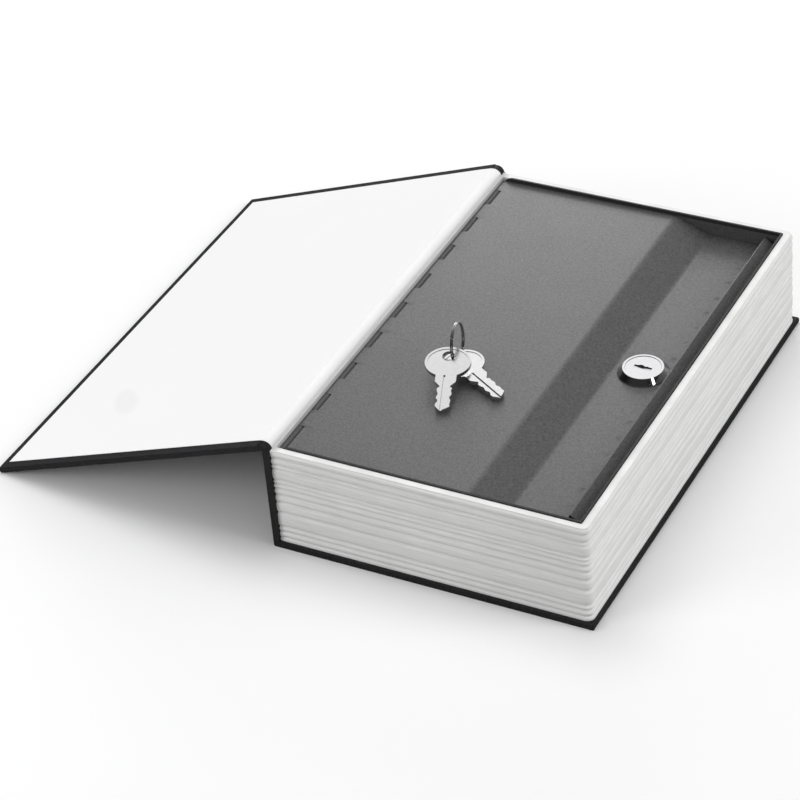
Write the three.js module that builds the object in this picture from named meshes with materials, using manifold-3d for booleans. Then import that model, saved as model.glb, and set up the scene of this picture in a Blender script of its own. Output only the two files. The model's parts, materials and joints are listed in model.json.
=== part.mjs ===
// A box shaped like a hardback book, open on its back cover: a ribbed page block round a steel cash box, whose hinged
// lid carries a key lock, with a ring of two keys on the lid. Millimetres, Z up, the origin at the middle of the
// back cover's underside, Y along the spine away from the viewer and X from the spine to the fore-edge.
import * as THREE from "three";
import { mergeVertices } from "three/addons/utils/BufferGeometryUtils.js";
import Module from "manifold-3d";

const wasm = await Module();
wasm.setup();

// Book case
const BOOK_LENGTH = 240;
const BOOK_WIDTH = 154;
const BOARD = 2.0;
const CLOTH = 0.4;
const COVER = BOARD + 2 * CLOTH;
const SQUARE = 1.6;
const FRONT_LONGER = 2.6;
const TURN_IN = 15;
const CORNER_CLOTH = 0.8;
const EDGE_ROUND = 0.8;
const GLUE = 0.1;
const ENDPAPER = 0.3;
const ENDPAPER_MARGIN = 4.2;
const FOLD_RADIUS = 2.4;
const FOLD_SKIN = 0.5;
const FOLD_HEM_TURN = 0.12;

// Magnet in the front board
const MAGNET_RADIUS = 6.5;
const MAGNET_HEIGHT = 1.4;
const MAGNET_FIT = 0.1;
const MAGNET_FROM_EDGE = 45.3;
const MAGNET_FROM_END = 47.8;

// Page block
const PAGE_BANDS = [2.35, 2.55, 5.15, 6.7, 4.7, 4.95, 3.85, 4.05, 4.05, 2.9, 4.3, 3.85];
const PAGE_HEIGHT = PAGE_BANDS.reduce((sum, band) => sum + band, 0);
const PAGE_GROOVE = 0.55;
const PAGE_CREST_SHARE = 0.3;
const PAGE_CORNER = 3.5;
const RIM_FORE = 4.3;
const RIM_SPINE = 1.2;
const RIM_END = 3.8;
const CLOSED_GAP = 1.2;

// Steel box
const SHEET = 0.9;
const BOX_FIT = 0.1;
const BOX_ABOVE_RIM = 0.7;
const BOX_CORNER = 6;
const LUG_LENGTH = 8;
const LUG_DEPTH = 2.6;

// Hinge of the lid
const PIN_RADIUS = 0.75;
const PIN_FIT = 0.05;
const KNUCKLE_RADIUS = PIN_RADIUS + PIN_FIT + SHEET;
const KNUCKLES = 9;
const FIRST_KNUCKLE_FROM_END = 11.55;
const LAST_KNUCKLE_FROM_END = 14.85;
const NOTCH_LENGTH = 12.5;
const NOTCH_GAP = 0.2;
const HINGE_TURN_GAP = 0.4;

// Lid
const LID_BELOW_RIM = 1.3;
const LID_FIT = 0.2;
const RECESS_DROP = 6.8;
const SLOPE_FROM_FORE = 59.1;
const SLOPE_RUN = 17.0;
const RISER_FROM_FORE = 15.9;
const RISER_RUN = 1.7;
const RIDGE_ABOVE_RECESS = 6.35;
const LIP_RUN = 6.6;
const LIP_FALL = 4.45;
const LIP_SHORT_NEAR = 4.7;
const LIP_SHORT_FAR = 1.7;

// Lock
const LOCK_FROM_FORE = 28.4;
const LOCK_Y = 2.0;
const BEZEL_RADIUS = 11.6;
const BEZEL_EDGE = 0.5;
const BEZEL_HEIGHT = 3.0;
const FACE_RADIUS = 9.3;
const RIM_RING = 0.25;
const BARREL_RADIUS = 8;
const BARREL_LENGTH = 11.1;
const BARREL_FIT = 0.2;
const DISC_RADIUS = 8.1;
const DISC_HEIGHT = 2.0;
const PLUG_RADIUS = 5.5;
const PLUG_FIT = 0.1;
const KEYWAY_LENGTH = 8.4;
const KEYWAY_WIDTH = 2.5;
const TAIL_SIDE = 6;
const TAIL_FIT = 0.1;

// Wafers in the plug
const WAFERS = 5;
const WAFER_PITCH = 1.9;
const WAFER_HEIGHT = 0.8;
const WAFER_WIDTH = 6.5;
const WAFER_FIT = 0.1;
const WAFER_GROOVE = 1.2;
const FIRST_WAFER_DEPTH = 2.4;

// Nut, washers, cam and screw
const WASHER_HEIGHT = 0.8;
const WASHER_RADIUS = 11;
const NUT_HEIGHT = 3;
const NUT_FLATS = 21;
const CAM_HEIGHT = 2;
const CAM_GAP = 0.3;
const CAM_HUB = 7;
const CAM_ARM = 5;
const CAM_CATCH = 1.2;
const CAM_SLOT_FIT = 0.5;
const CAM_POCKET = 1.6;
const CAM_WASHER_RADIUS = 4.5;
const SCREW_RADIUS = 1.5;
const SCREW_FIT = 0.1;
const SCREW_DEPTH = 4;
const SCREW_HEAD_RADIUS = 3.2;
const SCREW_HEAD_HEIGHT = 1.8;
const SCREW_CROWN_RADIUS = 2.25;

// Keys, sizes from the hole along the key
const KEY_HEIGHT = 2.0;
const KEY_REST = 0.3;
const KEY_HOLE = 2.85;
const HEAD_HALF_WIDTH = 10.3;
const HEAD_HALF_LENGTH = 8.65;
const HEAD_CENTRE = 3.4;
const HEAD_BORDER = 1.1;
const HEAD_RECESS = 0.25;
const HEAD_RECESS_END = 9.2;
const SHANK_HALF_WIDTH = 4.65;
const SHANK_END = 15.0;
const NECK = 17.85;
const NECK_HALF_WIDTH = 2.2;
const BLADE_HALF_WIDTH = 3.45;
const BLADE_START = 19.1;
const BLADE_END = 29.3;
const KEY_TIP = 31.4;
const KEY_TIP_LEFT = 1.5;
const KEY_TIP_MIDDLE = 0.2;
const KEY_TIP_RIGHT = 1.3;
const KEY_TIP_SLANT = 0.8;
const BLADE_END_CUT = 0.2;
const CUT_FLAT_SHARE = 0.2;
const BITTING_ONE = [0.15, 0.7, 0.2, 0.9, 0.1];
const BITTING_TWO = [0.45, 0.1, 0.85, 0.3, 0.5];
const BLADE_GROOVE_WIDTH = 0.9;
const BLADE_GROOVE_DEPTH = 0.6;
const BLADE_GROOVE_SIDE = -0.7;
const BLADE_GROOVE_START = 11.4;

// Keys as they lie on the lid: each tip's place, and the turn and rise of the key behind it in degrees
const FRONT_TIP_X = -17.23;
const FRONT_TIP_Y = -65.55;
const FRONT_YAW = -70.3;
const FRONT_PITCH = 12.6;
const BACK_TIP_X = 2.75;
const BACK_TIP_Y = -47.4;
const BACK_YAW = -27.0;
const BACK_PITCH = 5.5;

// Split ring, two turns of wire
const RING_X = -27.55;
const RING_Y = -27.9;
const RING_RADIUS = 9.15;
const RING_TURN = 9.9;
const RING_LEAN = -4.0;
const WIRE_RADIUS = 0.35;
const WIRE_PITCH = 0.78;
const RING_TURNS = 1.96;
const RING_START = 250;

// Levels and places that follow from the sizes
const SPINE_X = -BOOK_WIDTH / 2;
const FORE_X = BOOK_WIDTH / 2;
const END_Y = BOOK_LENGTH / 2;
const SPINE_INNER_X = SPINE_X + COVER;
const RIM_Z = COVER + PAGE_HEIGHT;
const FOLD_X = SPINE_X + COVER / 2;
const FOLD_Z = RIM_Z + CLOSED_GAP + COVER / 2;
const COVER_REACH = FORE_X - FOLD_X + FRONT_LONGER;
const DROOP = Math.asin(FOLD_Z / Math.hypot(COVER_REACH, COVER / 2)) - Math.atan2(COVER / 2, COVER_REACH);
const FOLD_TURN = Math.PI / 2 + DROOP;
const FOLD_TANGENT = FOLD_RADIUS * Math.tan(FOLD_TURN / 2);
const SPINE_TOP_Z = FOLD_Z - FOLD_TANGENT;
const LINING_INNER = FOLD_RADIUS + COVER / 2 - ENDPAPER;
const PAGE_FORE_X = FORE_X - SQUARE;
const PAGE_END_Y = END_Y - SQUARE;
const CAVITY_SPINE_X = SPINE_INNER_X + RIM_SPINE;
const CAVITY_FORE_X = PAGE_FORE_X - RIM_FORE;
const CAVITY_END_Y = PAGE_END_Y - RIM_END;
const BOX_SPINE_X = CAVITY_SPINE_X + BOX_FIT;
const BOX_FORE_X = CAVITY_FORE_X - BOX_FIT;
const BOX_END_Y = CAVITY_END_Y - BOX_FIT;
const BOX_TOP_Z = RIM_Z + BOX_ABOVE_RIM;
const LID_Z = RIM_Z - LID_BELOW_RIM;
const PIN_X = BOX_SPINE_X + KNUCKLE_RADIUS;
const PIN_Z = LID_Z - KNUCKLE_RADIUS;
const LID_END_Y = BOX_END_Y - SHEET - LID_FIT;
const FIRST_KNUCKLE_Y = FIRST_KNUCKLE_FROM_END - LID_END_Y;
const LAST_KNUCKLE_Y = LID_END_Y - LAST_KNUCKLE_FROM_END;
const KNUCKLE_PITCH = (LAST_KNUCKLE_Y - FIRST_KNUCKLE_Y) / (KNUCKLES - 1);
const LUG_Y = END_Y / 2;
const RECESS_Z = LID_Z - RECESS_DROP;
const SLOPE_START_X = FORE_X - SLOPE_FROM_FORE;
const SLOPE_END_X = SLOPE_START_X + SLOPE_RUN;
const RISER_X = FORE_X - RISER_FROM_FORE;
const RIDGE_X = RISER_X + RISER_RUN;
const RIDGE_Z = RECESS_Z + RIDGE_ABOVE_RECESS;
const LIP_END_X = RIDGE_X + LIP_RUN;
const LIP_END_Z = RIDGE_Z - LIP_FALL;
const LID_UNDER_Z = RECESS_Z - SHEET;
const FACE_Z = RECESS_Z + BEZEL_HEIGHT;
const DISC_SEAT_Z = FACE_Z - RIM_RING - DISC_HEIGHT;
const BARREL_END_Z = LID_UNDER_Z - BARREL_LENGTH;
const CAM_TOP_Z = BARREL_END_Z - CAM_GAP;
const CAM_UNDER_Z = CAM_TOP_Z - CAM_HEIGHT;
const LOCK_X = FORE_X - LOCK_FROM_FORE;
const CAM_REACH = BOX_FORE_X - LOCK_X + CAM_CATCH;
const MAGNET_FROM_FOLD = COVER_REACH - MAGNET_FROM_EDGE;
const MAGNET_Y = MAGNET_FROM_END - END_Y;

// Solids

function solid(geometry) {
  const bare = geometry.index ? geometry.toNonIndexed() : geometry.clone();
  bare.deleteAttribute("normal");
  bare.deleteAttribute("uv");
  const merged = mergeVertices(bare, 1e-4);
  const faces = new Uint32Array(merged.index.array);
  const made = new wasm.Manifold(
    new wasm.Mesh({ numProp: 3, vertProperties: merged.attributes.position.array, triVerts: faces }),
  );
  return made.volume() < 0 ? solid(turnedInsideOut(merged)) : made;
}

function turnedInsideOut(geometry) {
  const turned = geometry.clone();
  const faces = turned.index.array;
  for (let i = 0; i < faces.length; i += 3) {
    const second = faces[i + 1];
    faces[i + 1] = faces[i + 2];
    faces[i + 2] = second;
  }
  return turned;
}

function surfaceOf(shape) {
  const mesh = shape.getMesh();
  const geometry = new THREE.BufferGeometry();
  const points = new Float32Array(mesh.numVert * 3);
  for (let i = 0; i < mesh.numVert; i++) {
    const start = i * mesh.numProp;
    points.set(mesh.vertProperties.subarray(start, start + 3), i * 3);
  }
  geometry.setAttribute("position", new THREE.BufferAttribute(points, 3));
  geometry.setIndex(new THREE.BufferAttribute(mesh.triVerts, 1));
  const flat = geometry.toNonIndexed();
  flat.computeVertexNormals();
  return flat;
}

function block(x0, x1, y0, y1, z0, z1) {
  const geometry = new THREE.BoxGeometry(x1 - x0, y1 - y0, z1 - z0);
  geometry.translate((x0 + x1) / 2, (y0 + y1) / 2, (z0 + z1) / 2);
  return solid(geometry);
}

// A shape drawn in X and Z, pulled along Y.
function alongY(shape, y0, y1, curveSegments = 6) {
  const geometry = new THREE.ExtrudeGeometry(shape, { depth: y1 - y0, bevelEnabled: false, curveSegments });
  geometry.rotateX(Math.PI / 2);
  geometry.translate(0, y1, 0);
  return solid(geometry);
}

// A shape drawn in X and Y, pulled along Z.
function alongZ(shape, z0, z1, curveSegments = 12) {
  const geometry = new THREE.ExtrudeGeometry(shape, { depth: z1 - z0, bevelEnabled: false, curveSegments });
  geometry.translate(0, 0, z0);
  return solid(geometry);
}

// A profile of radius and height, turned round an upright axis at x, y.
function turned(profile, x, y, segments = 48) {
  const points = profile.map(([radius, height]) => new THREE.Vector2(radius, height));
  const geometry = new THREE.LatheGeometry(points, segments);
  geometry.rotateX(Math.PI / 2);
  geometry.translate(x, y, 0);
  return solid(geometry);
}

function uprightRod(radius, x, y, z0, z1, segments = 48) {
  return turned([[0, z0], [radius, z0], [radius, z1], [0, z1]], x, y, segments);
}

function uprightRing(inner, outer, x, y, z0, z1, segments = 48) {
  return turned([[inner, z0], [outer, z0], [outer, z1], [inner, z1], [inner, z0]], x, y, segments);
}

function rodAlongY(radius, x, z, y0, y1, segments = 24) {
  const geometry = new THREE.CylinderGeometry(radius, radius, y1 - y0, segments);
  geometry.translate(x, (y0 + y1) / 2, z);
  return solid(geometry);
}

function joined(shapes) {
  return shapes.reduce((sum, shape) => sum.add(shape));
}

// A part of a ring drawn round cx, cz from angle 0 to the given angle.
function ringSector(cx, cz, inner, outer, from, to) {
  const shape = new THREE.Shape();
  shape.moveTo(cx + inner * Math.cos(from), cz + inner * Math.sin(from));
  shape.lineTo(cx + outer * Math.cos(from), cz + outer * Math.sin(from));
  shape.absarc(cx, cz, outer, from, to, false);
  shape.lineTo(cx + inner * Math.cos(to), cz + inner * Math.sin(to));
  shape.absarc(cx, cz, inner, to, from, true);
  return shape;
}

// The outline of a bent sheet: its upper line, and the same line one sheet lower, mitred at the bends.
function sheetOutline(line, thickness) {
  const points = line.map(([x, z]) => new THREE.Vector2(x, z));
  const normals = points.slice(1).map((point, i) => {
    const along = point.clone().sub(points[i]).normalize();
    return new THREE.Vector2(along.y, -along.x);
  });
  const lower = points.map((point, i) => {
    const before = normals[Math.max(i - 1, 0)];
    const after = normals[Math.min(i, normals.length - 1)];
    const mitre = before.clone().add(after).normalize();
    return point.clone().addScaledVector(mitre, thickness / mitre.dot(after));
  });
  return new THREE.Shape([...points, ...lower.reverse()]);
}

// Materials

function finish(color, roughness, metalness) {
  return new THREE.MeshStandardMaterial({ color, roughness, metalness });
}

const cloth = () => finish(0x2b2b2d, 0.8, 0);
const board = () => finish(0x8f8673, 0.9, 0);
const paper = () => finish(0xf4f3ef, 0.85, 0);
const pages = () => finish(0xe6e4de, 0.6, 0);
const darkSteel = () => finish(0x3c3d3f, 0.5, 0.4);
const greySteel = () => finish(0x7d7e80, 0.5, 0.3);
const chrome = () => finish(0xc9cacc, 0.15, 1);
const zinc = () => finish(0xa4a6a9, 0.35, 0.9);
const brass = () => finish(0xb59a55, 0.35, 0.9);
const keySteel = () => finish(0xdcdcdd, 0.25, 0.95);

function piece(name, shape, material) {
  const mesh = new THREE.Mesh(surfaceOf(shape), material);
  mesh.name = name;
  return mesh;
}

// Back cover and spine

// The spine and the back cover from the side, with their outer corner and the fore-edge rounded.
function caseOutline() {
  const round = EDGE_ROUND;
  const shape = new THREE.Shape();
  shape.moveTo(SPINE_X, SPINE_TOP_Z);
  shape.lineTo(SPINE_X, round);
  shape.absarc(SPINE_X + round, round, round, Math.PI, 1.5 * Math.PI, false);
  shape.lineTo(FORE_X - round, 0);
  shape.absarc(FORE_X - round, round, round, 1.5 * Math.PI, 2 * Math.PI, false);
  shape.lineTo(FORE_X, COVER - round);
  shape.absarc(FORE_X - round, COVER - round, round, 0, 0.5 * Math.PI, false);
  shape.lineTo(SPINE_INNER_X, COVER);
  shape.lineTo(SPINE_INNER_X, SPINE_TOP_Z);
  return shape;
}

const BACK_BOARD_X = SPINE_INNER_X + CORNER_CLOTH;
const SPINE_BOARD_Z = COVER + CLOTH;
const SPINE_BOARD_TOP_Z = SPINE_TOP_Z - CLOTH;
const BOARD_END_Y = END_Y - CLOTH;
const WINDOW_Y = END_Y - TURN_IN;

function backBoard() {
  return block(BACK_BOARD_X, FORE_X - CLOTH, -BOARD_END_Y, BOARD_END_Y, CLOTH, CLOTH + BOARD);
}

function backEndpaper() {
  const start = BACK_BOARD_X + CORNER_CLOTH;
  return block(start, FORE_X - TURN_IN, -WINDOW_Y, WINDOW_Y, CLOTH + BOARD, COVER);
}

function spineBoard() {
  const inner = SPINE_INNER_X - CLOTH;
  return block(SPINE_X + CLOTH, inner, -BOARD_END_Y, BOARD_END_Y, SPINE_BOARD_Z, SPINE_BOARD_TOP_Z);
}

function spineLining() {
  const outer = SPINE_INNER_X - CLOTH;
  const inset = CORNER_CLOTH;
  const top = SPINE_BOARD_TOP_Z - inset;
  return block(outer, SPINE_INNER_X, -WINDOW_Y, WINDOW_Y, SPINE_BOARD_Z + inset, top);
}

function caseCloth() {
  const inside = joined([backBoard(), backEndpaper(), spineBoard(), spineLining()]);
  return alongY(caseOutline(), -END_Y, END_Y, 4).subtract(inside);
}

// Cloth joint between the spine and the front cover, as it lies with the cover open

const BEND_X = FOLD_X - FOLD_RADIUS;
const BEND_Z = SPINE_TOP_Z;

function coverJoint() {
  const inner = FOLD_RADIUS - COVER / 2;
  const band = alongY(ringSector(BEND_X, BEND_Z, inner, LINING_INNER, 0, FOLD_TURN), -END_Y, END_Y, 10);
  const skin = inner + FOLD_SKIN;
  const end = FOLD_TURN - FOLD_HEM_TURN;
  const hollow = ringSector(BEND_X, BEND_Z, skin, LINING_INNER + FOLD_SKIN, FOLD_HEM_TURN, end);
  return band.subtract(alongY(hollow, -WINDOW_Y, WINDOW_Y, 10));
}

function jointLining() {
  const outer = LINING_INNER + ENDPAPER;
  const sector = ringSector(BEND_X, BEND_Z, LINING_INNER, outer, 0, FOLD_TURN);
  return alongY(sector, -PAGE_END_Y, PAGE_END_Y, 10);
}

// Front cover, drawn closed, with X from the fold and Z from its middle plane

const FRONT_BOARD = BOARD / 2 - GLUE;
const FRONT_BOARD_START = FOLD_TANGENT + CLOTH;

function frontCloth() {
  const shape = new THREE.Shape();
  const half = COVER / 2;
  const round = EDGE_ROUND;
  shape.moveTo(FOLD_TANGENT, -half);
  shape.lineTo(COVER_REACH - round, -half);
  shape.absarc(COVER_REACH - round, round - half, round, 1.5 * Math.PI, 2 * Math.PI, false);
  shape.lineTo(COVER_REACH, half - round);
  shape.absarc(COVER_REACH - round, half - round, round, 0, 0.5 * Math.PI, false);
  shape.lineTo(FOLD_TANGENT, half);
  const pocketEnd = COVER_REACH - CLOTH;
  const inner = BOARD / 2;
  const pocket = block(FRONT_BOARD_START, pocketEnd, -BOARD_END_Y, BOARD_END_Y, -inner, inner);
  const windowStart = FRONT_BOARD_START + CORNER_CLOTH;
  const window = block(windowStart, COVER_REACH - TURN_IN, -WINDOW_Y, WINDOW_Y, -COVER, 0);
  return alongY(shape, -END_Y, END_Y, 4).subtract(pocket).subtract(window);
}

function frontBoard() {
  const start = FRONT_BOARD_START + GLUE;
  const end = COVER_REACH - CLOTH - GLUE;
  const side = BOARD_END_Y - GLUE;
  const plate = block(start, end, -side, side, -FRONT_BOARD, FRONT_BOARD);
  const depth = MAGNET_HEIGHT + MAGNET_FIT;
  const radius = MAGNET_RADIUS + MAGNET_FIT;
  const top = depth - FRONT_BOARD;
  return plate.subtract(uprightRod(radius, MAGNET_FROM_FOLD, MAGNET_Y, -COVER, top, 40));
}

function coverMagnet() {
  const top = MAGNET_HEIGHT - FRONT_BOARD;
  return uprightRod(MAGNET_RADIUS, MAGNET_FROM_FOLD, MAGNET_Y, -FRONT_BOARD, top, 40);
}

function frontEndpaper() {
  const side = END_Y - ENDPAPER_MARGIN;
  const top = -COVER / 2 - GLUE;
  return block(FOLD_TANGENT + GLUE, COVER_REACH - ENDPAPER_MARGIN, -side, side, top - ENDPAPER, top);
}

// Page block

// One band of pages: a bead round three sides of the block.
function pageBand(z0, height) {
  const corner = PAGE_CORNER - PAGE_GROOVE;
  const fore = PAGE_FORE_X - PAGE_GROOVE;
  const end = PAGE_END_Y - PAGE_GROOVE;
  const shape = new THREE.Shape();
  shape.moveTo(SPINE_INNER_X, -end);
  shape.lineTo(fore - corner, -end);
  shape.absarc(fore - corner, corner - end, corner, -Math.PI / 2, 0, false);
  shape.lineTo(fore, end - corner);
  shape.absarc(fore - corner, end - corner, corner, 0, Math.PI / 2, false);
  shape.lineTo(SPINE_INNER_X, end);
  const flat = height * PAGE_CREST_SHARE;
  const geometry = new THREE.ExtrudeGeometry(shape, {
    depth: flat,
    bevelThickness: (height - flat) / 2,
    bevelSize: PAGE_GROOVE,
    bevelSegments: 2,
    curveSegments: 4,
  });
  geometry.translate(0, 0, z0 + (height - flat) / 2);
  return solid(geometry);
}

function camSlot(x0, x1, fit) {
  const reach = CAM_REACH;
  const sweep = Math.sqrt(reach * reach - (BOX_FORE_X - SHEET - LOCK_X) ** 2);
  const z0 = CAM_UNDER_Z - fit;
  return block(x0, x1, LOCK_Y - CAM_ARM - fit, LOCK_Y + sweep + fit, z0, CAM_TOP_Z + fit);
}

function pageBlock() {
  const bands = [];
  let z = COVER;
  for (const height of PAGE_BANDS) {
    bands.push(pageBand(z, height));
    z += height;
  }
  const cavity = block(CAVITY_SPINE_X, CAVITY_FORE_X, -CAVITY_END_Y, CAVITY_END_Y, 0, RIM_Z + COVER);
  const spineSide = block(SPINE_X - COVER, SPINE_INNER_X, -END_Y, END_Y, 0, RIM_Z + COVER);
  const pocket = camSlot(BOX_FORE_X - SHEET, CAVITY_FORE_X + CAM_POCKET, CAM_SLOT_FIT);
  return joined(bands).subtract(cavity).subtract(spineSide).subtract(pocket);
}

// Steel box

function knuckleRange(index) {
  const middle = FIRST_KNUCKLE_Y + index * KNUCKLE_PITCH;
  const near = index === 0 ? -LID_END_Y : middle - NOTCH_LENGTH / 2;
  return [near, middle + NOTCH_LENGTH / 2];
}

function knuckleRanges() {
  return Array.from({ length: KNUCKLES }, (_, index) => knuckleRange(index));
}

function knuckle(y0, y1) {
  const tube = rodAlongY(KNUCKLE_RADIUS, PIN_X, PIN_Z, y0, y1, 20);
  return tube.subtract(rodAlongY(PIN_RADIUS + PIN_FIT, PIN_X, PIN_Z, y0 - SHEET, y1 + SHEET, 16));
}

// The piece taken off the upper corner of each end wall beside the hinge.
function endWallCorner() {
  const x = BOX_SPINE_X + BOX_CORNER;
  const z = BOX_TOP_Z - BOX_CORNER;
  const shape = new THREE.Shape();
  shape.moveTo(BOX_SPINE_X - SHEET, z);
  shape.lineTo(BOX_SPINE_X, z);
  shape.absarc(x, z, BOX_CORNER, Math.PI, Math.PI / 2, true);
  shape.lineTo(x, BOX_TOP_Z + SHEET);
  shape.lineTo(BOX_SPINE_X - SHEET, BOX_TOP_Z + SHEET);
  return alongY(shape, -END_Y, END_Y, 8);
}

function steelBox() {
  const floorZ = COVER + SHEET;
  const endY = BOX_END_Y;
  const outside = block(BOX_SPINE_X, BOX_FORE_X, -endY, endY, COVER, BOX_TOP_Z);
  const inX = BOX_SPINE_X + SHEET;
  const inY = endY - SHEET;
  const inside = block(inX, BOX_FORE_X - SHEET, -inY, inY, floorZ, RIM_Z + COVER);
  const wallTop = PIN_Z - KNUCKLE_RADIUS - HINGE_TURN_GAP;
  const aboveWall = block(SPINE_X, inX, -inY, inY, wallTop, RIM_Z + COVER);
  const parts = [outside.subtract(inside).subtract(aboveWall).subtract(endWallCorner())];
  for (const [y0, y1] of knuckleRanges()) {
    const low = y0 + NOTCH_GAP;
    const high = y1 - NOTCH_GAP;
    parts.push(block(BOX_SPINE_X, inX, low, high, wallTop - SHEET, PIN_Z));
    parts.push(knuckle(low, high));
  }
  const lugX = BOX_FORE_X - SHEET - LUG_DEPTH;
  const lugTop = LIP_END_Z - SHEET - KEY_REST;
  for (const y of [-LUG_Y, LUG_Y]) {
    parts.push(block(lugX, BOX_FORE_X - SHEET / 2, y - LUG_LENGTH / 2, y + LUG_LENGTH / 2, lugTop - SHEET, lugTop));
  }
  const slot = camSlot(BOX_FORE_X - 2 * SHEET, BOX_FORE_X + SHEET, CAM_SLOT_FIT);
  return joined(parts).subtract(slot).subtract(rodAlongY(PIN_RADIUS + PIN_FIT, PIN_X, PIN_Z, -inY, inY, 16));
}

function hingePin() {
  return rodAlongY(PIN_RADIUS, PIN_X, PIN_Z, -LID_END_Y, LID_END_Y, 16);
}

// Lid, one bent sheet

function lid() {
  const flat = [
    [PIN_X, LID_Z],
    [SLOPE_START_X, LID_Z],
    [SLOPE_END_X, RECESS_Z],
    [RISER_X, RECESS_Z],
  ];
  const lipped = [...flat, [RIDGE_X, RIDGE_Z], [LIP_END_X, LIP_END_Z]];
  const parts = [
    alongY(sheetOutline(flat, SHEET), -LID_END_Y, LID_END_Y),
    alongY(sheetOutline(lipped, SHEET), LIP_SHORT_NEAR - LID_END_Y, LID_END_Y - LIP_SHORT_FAR),
  ];
  const ranges = knuckleRanges();
  const notchEnd = PIN_X + KNUCKLE_RADIUS + NOTCH_GAP;
  ranges.forEach(([, end], index) => {
    const next = ranges[index + 1];
    const last = next ? next[0] : LID_END_Y;
    parts.push(knuckle(end, last));
  });
  const notches = ranges.map(([y0, y1]) => block(SPINE_X, notchEnd, y0, y1, PIN_Z - COVER, RIM_Z));
  const hole = uprightRod(BARREL_RADIUS + BARREL_FIT, LOCK_X, LOCK_Y, LID_UNDER_Z - SHEET, RECESS_Z + SHEET);
  const pinHole = rodAlongY(PIN_RADIUS + PIN_FIT, PIN_X, PIN_Z, -END_Y, END_Y, 16);
  return joined(parts).subtract(joined(notches)).subtract(hole).subtract(pinHole);
}

// Lock

function waferZ(index) {
  return DISC_SEAT_Z - FIRST_WAFER_DEPTH + WAFER_PITCH / 2 - index * WAFER_PITCH;
}

function lockHousing() {
  const bore = PLUG_RADIUS + PLUG_FIT;
  const seat = DISC_RADIUS + PLUG_FIT;
  const rim = FACE_RADIUS + RIM_RING;
  const body = turned(
    [
      [bore, BARREL_END_Z],
      [BARREL_RADIUS, BARREL_END_Z],
      [BARREL_RADIUS, RECESS_Z],
      [BEZEL_RADIUS, RECESS_Z],
      [BEZEL_RADIUS, RECESS_Z + BEZEL_EDGE],
      [rim, FACE_Z - RIM_RING],
      [FACE_RADIUS, FACE_Z],
      [seat, FACE_Z],
      [seat, DISC_SEAT_Z],
      [bore, DISC_SEAT_Z],
      [bore, BARREL_END_Z],
    ],
    LOCK_X,
    LOCK_Y,
    56,
  );
  const grooveX = bore + WAFER_GROOVE;
  const grooveY = WAFER_WIDTH / 2 + WAFER_FIT;
  const low = waferZ(WAFERS - 1) - WAFER_HEIGHT;
  const grooves = block(
    LOCK_X - grooveX,
    LOCK_X + grooveX,
    LOCK_Y - grooveY,
    LOCK_Y + grooveY,
    low,
    DISC_SEAT_Z,
  );
  return body.subtract(grooves);
}

function lockPlug() {
  const seatZ = DISC_SEAT_Z + PLUG_FIT / 2;
  const discTop = seatZ + DISC_HEIGHT;
  const half = TAIL_SIDE / 2;
  const barrelEnd = CAM_TOP_Z + PLUG_FIT / 2;
  const parts = [
    uprightRod(DISC_RADIUS, LOCK_X, LOCK_Y, seatZ, discTop, 56),
    uprightRod(PLUG_RADIUS, LOCK_X, LOCK_Y, barrelEnd, seatZ + DISC_HEIGHT / 2, 40),
    block(LOCK_X - half, LOCK_X + half, LOCK_Y - half, LOCK_Y + half, CAM_UNDER_Z, barrelEnd + half),
  ];
  const keyX = KEYWAY_LENGTH / 2;
  const keyY = KEYWAY_WIDTH / 2;
  const keyEnd = waferZ(WAFERS - 1) - WAFER_HEIGHT;
  const cuts = [block(LOCK_X - keyX, LOCK_X + keyX, LOCK_Y - keyY, LOCK_Y + keyY, keyEnd, FACE_Z + COVER)];
  const slotY = WAFER_WIDTH / 2 + WAFER_FIT;
  const slotZ = WAFER_HEIGHT / 2 + WAFER_FIT;
  for (let index = 0; index < WAFERS; index++) {
    const z = waferZ(index);
    const reach = DISC_RADIUS;
    cuts.push(block(LOCK_X - reach, LOCK_X + reach, LOCK_Y - slotY, LOCK_Y + slotY, z - slotZ, z + slotZ));
  }
  const screw = SCREW_RADIUS + SCREW_FIT;
  cuts.push(uprightRod(screw, LOCK_X, LOCK_Y, CAM_UNDER_Z - COVER, CAM_UNDER_Z + SCREW_DEPTH + SCREW_FIT, 16));
  return joined(parts).subtract(joined(cuts));
}

// A wafer lifted by the key lies flush with the plug, its ends rounded to the plug's own surface.
function wafer(index) {
  const z = waferZ(index);
  const half = WAFER_HEIGHT / 2;
  const halfY = WAFER_WIDTH / 2;
  const round = uprightRod(PLUG_RADIUS - WAFER_FIT, LOCK_X, LOCK_Y, z - half, z + half, 40);
  const sides = block(LOCK_X - PLUG_RADIUS, LOCK_X + PLUG_RADIUS, LOCK_Y - halfY, LOCK_Y + halfY, 0, RIM_Z);
  const windowX = BLADE_HALF_WIDTH + WAFER_FIT;
  const windowY = KEYWAY_WIDTH / 2;
  const opening = block(LOCK_X - windowX, LOCK_X + windowX, LOCK_Y - windowY, LOCK_Y + windowY, 0, RIM_Z);
  return round.intersect(sides).subtract(opening);
}

const WASHER_UNDER_Z = LID_UNDER_Z - WASHER_HEIGHT;

function lockWasher() {
  return uprightRing(BARREL_RADIUS + BARREL_FIT, WASHER_RADIUS, LOCK_X, LOCK_Y, WASHER_UNDER_Z, LID_UNDER_Z);
}

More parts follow.
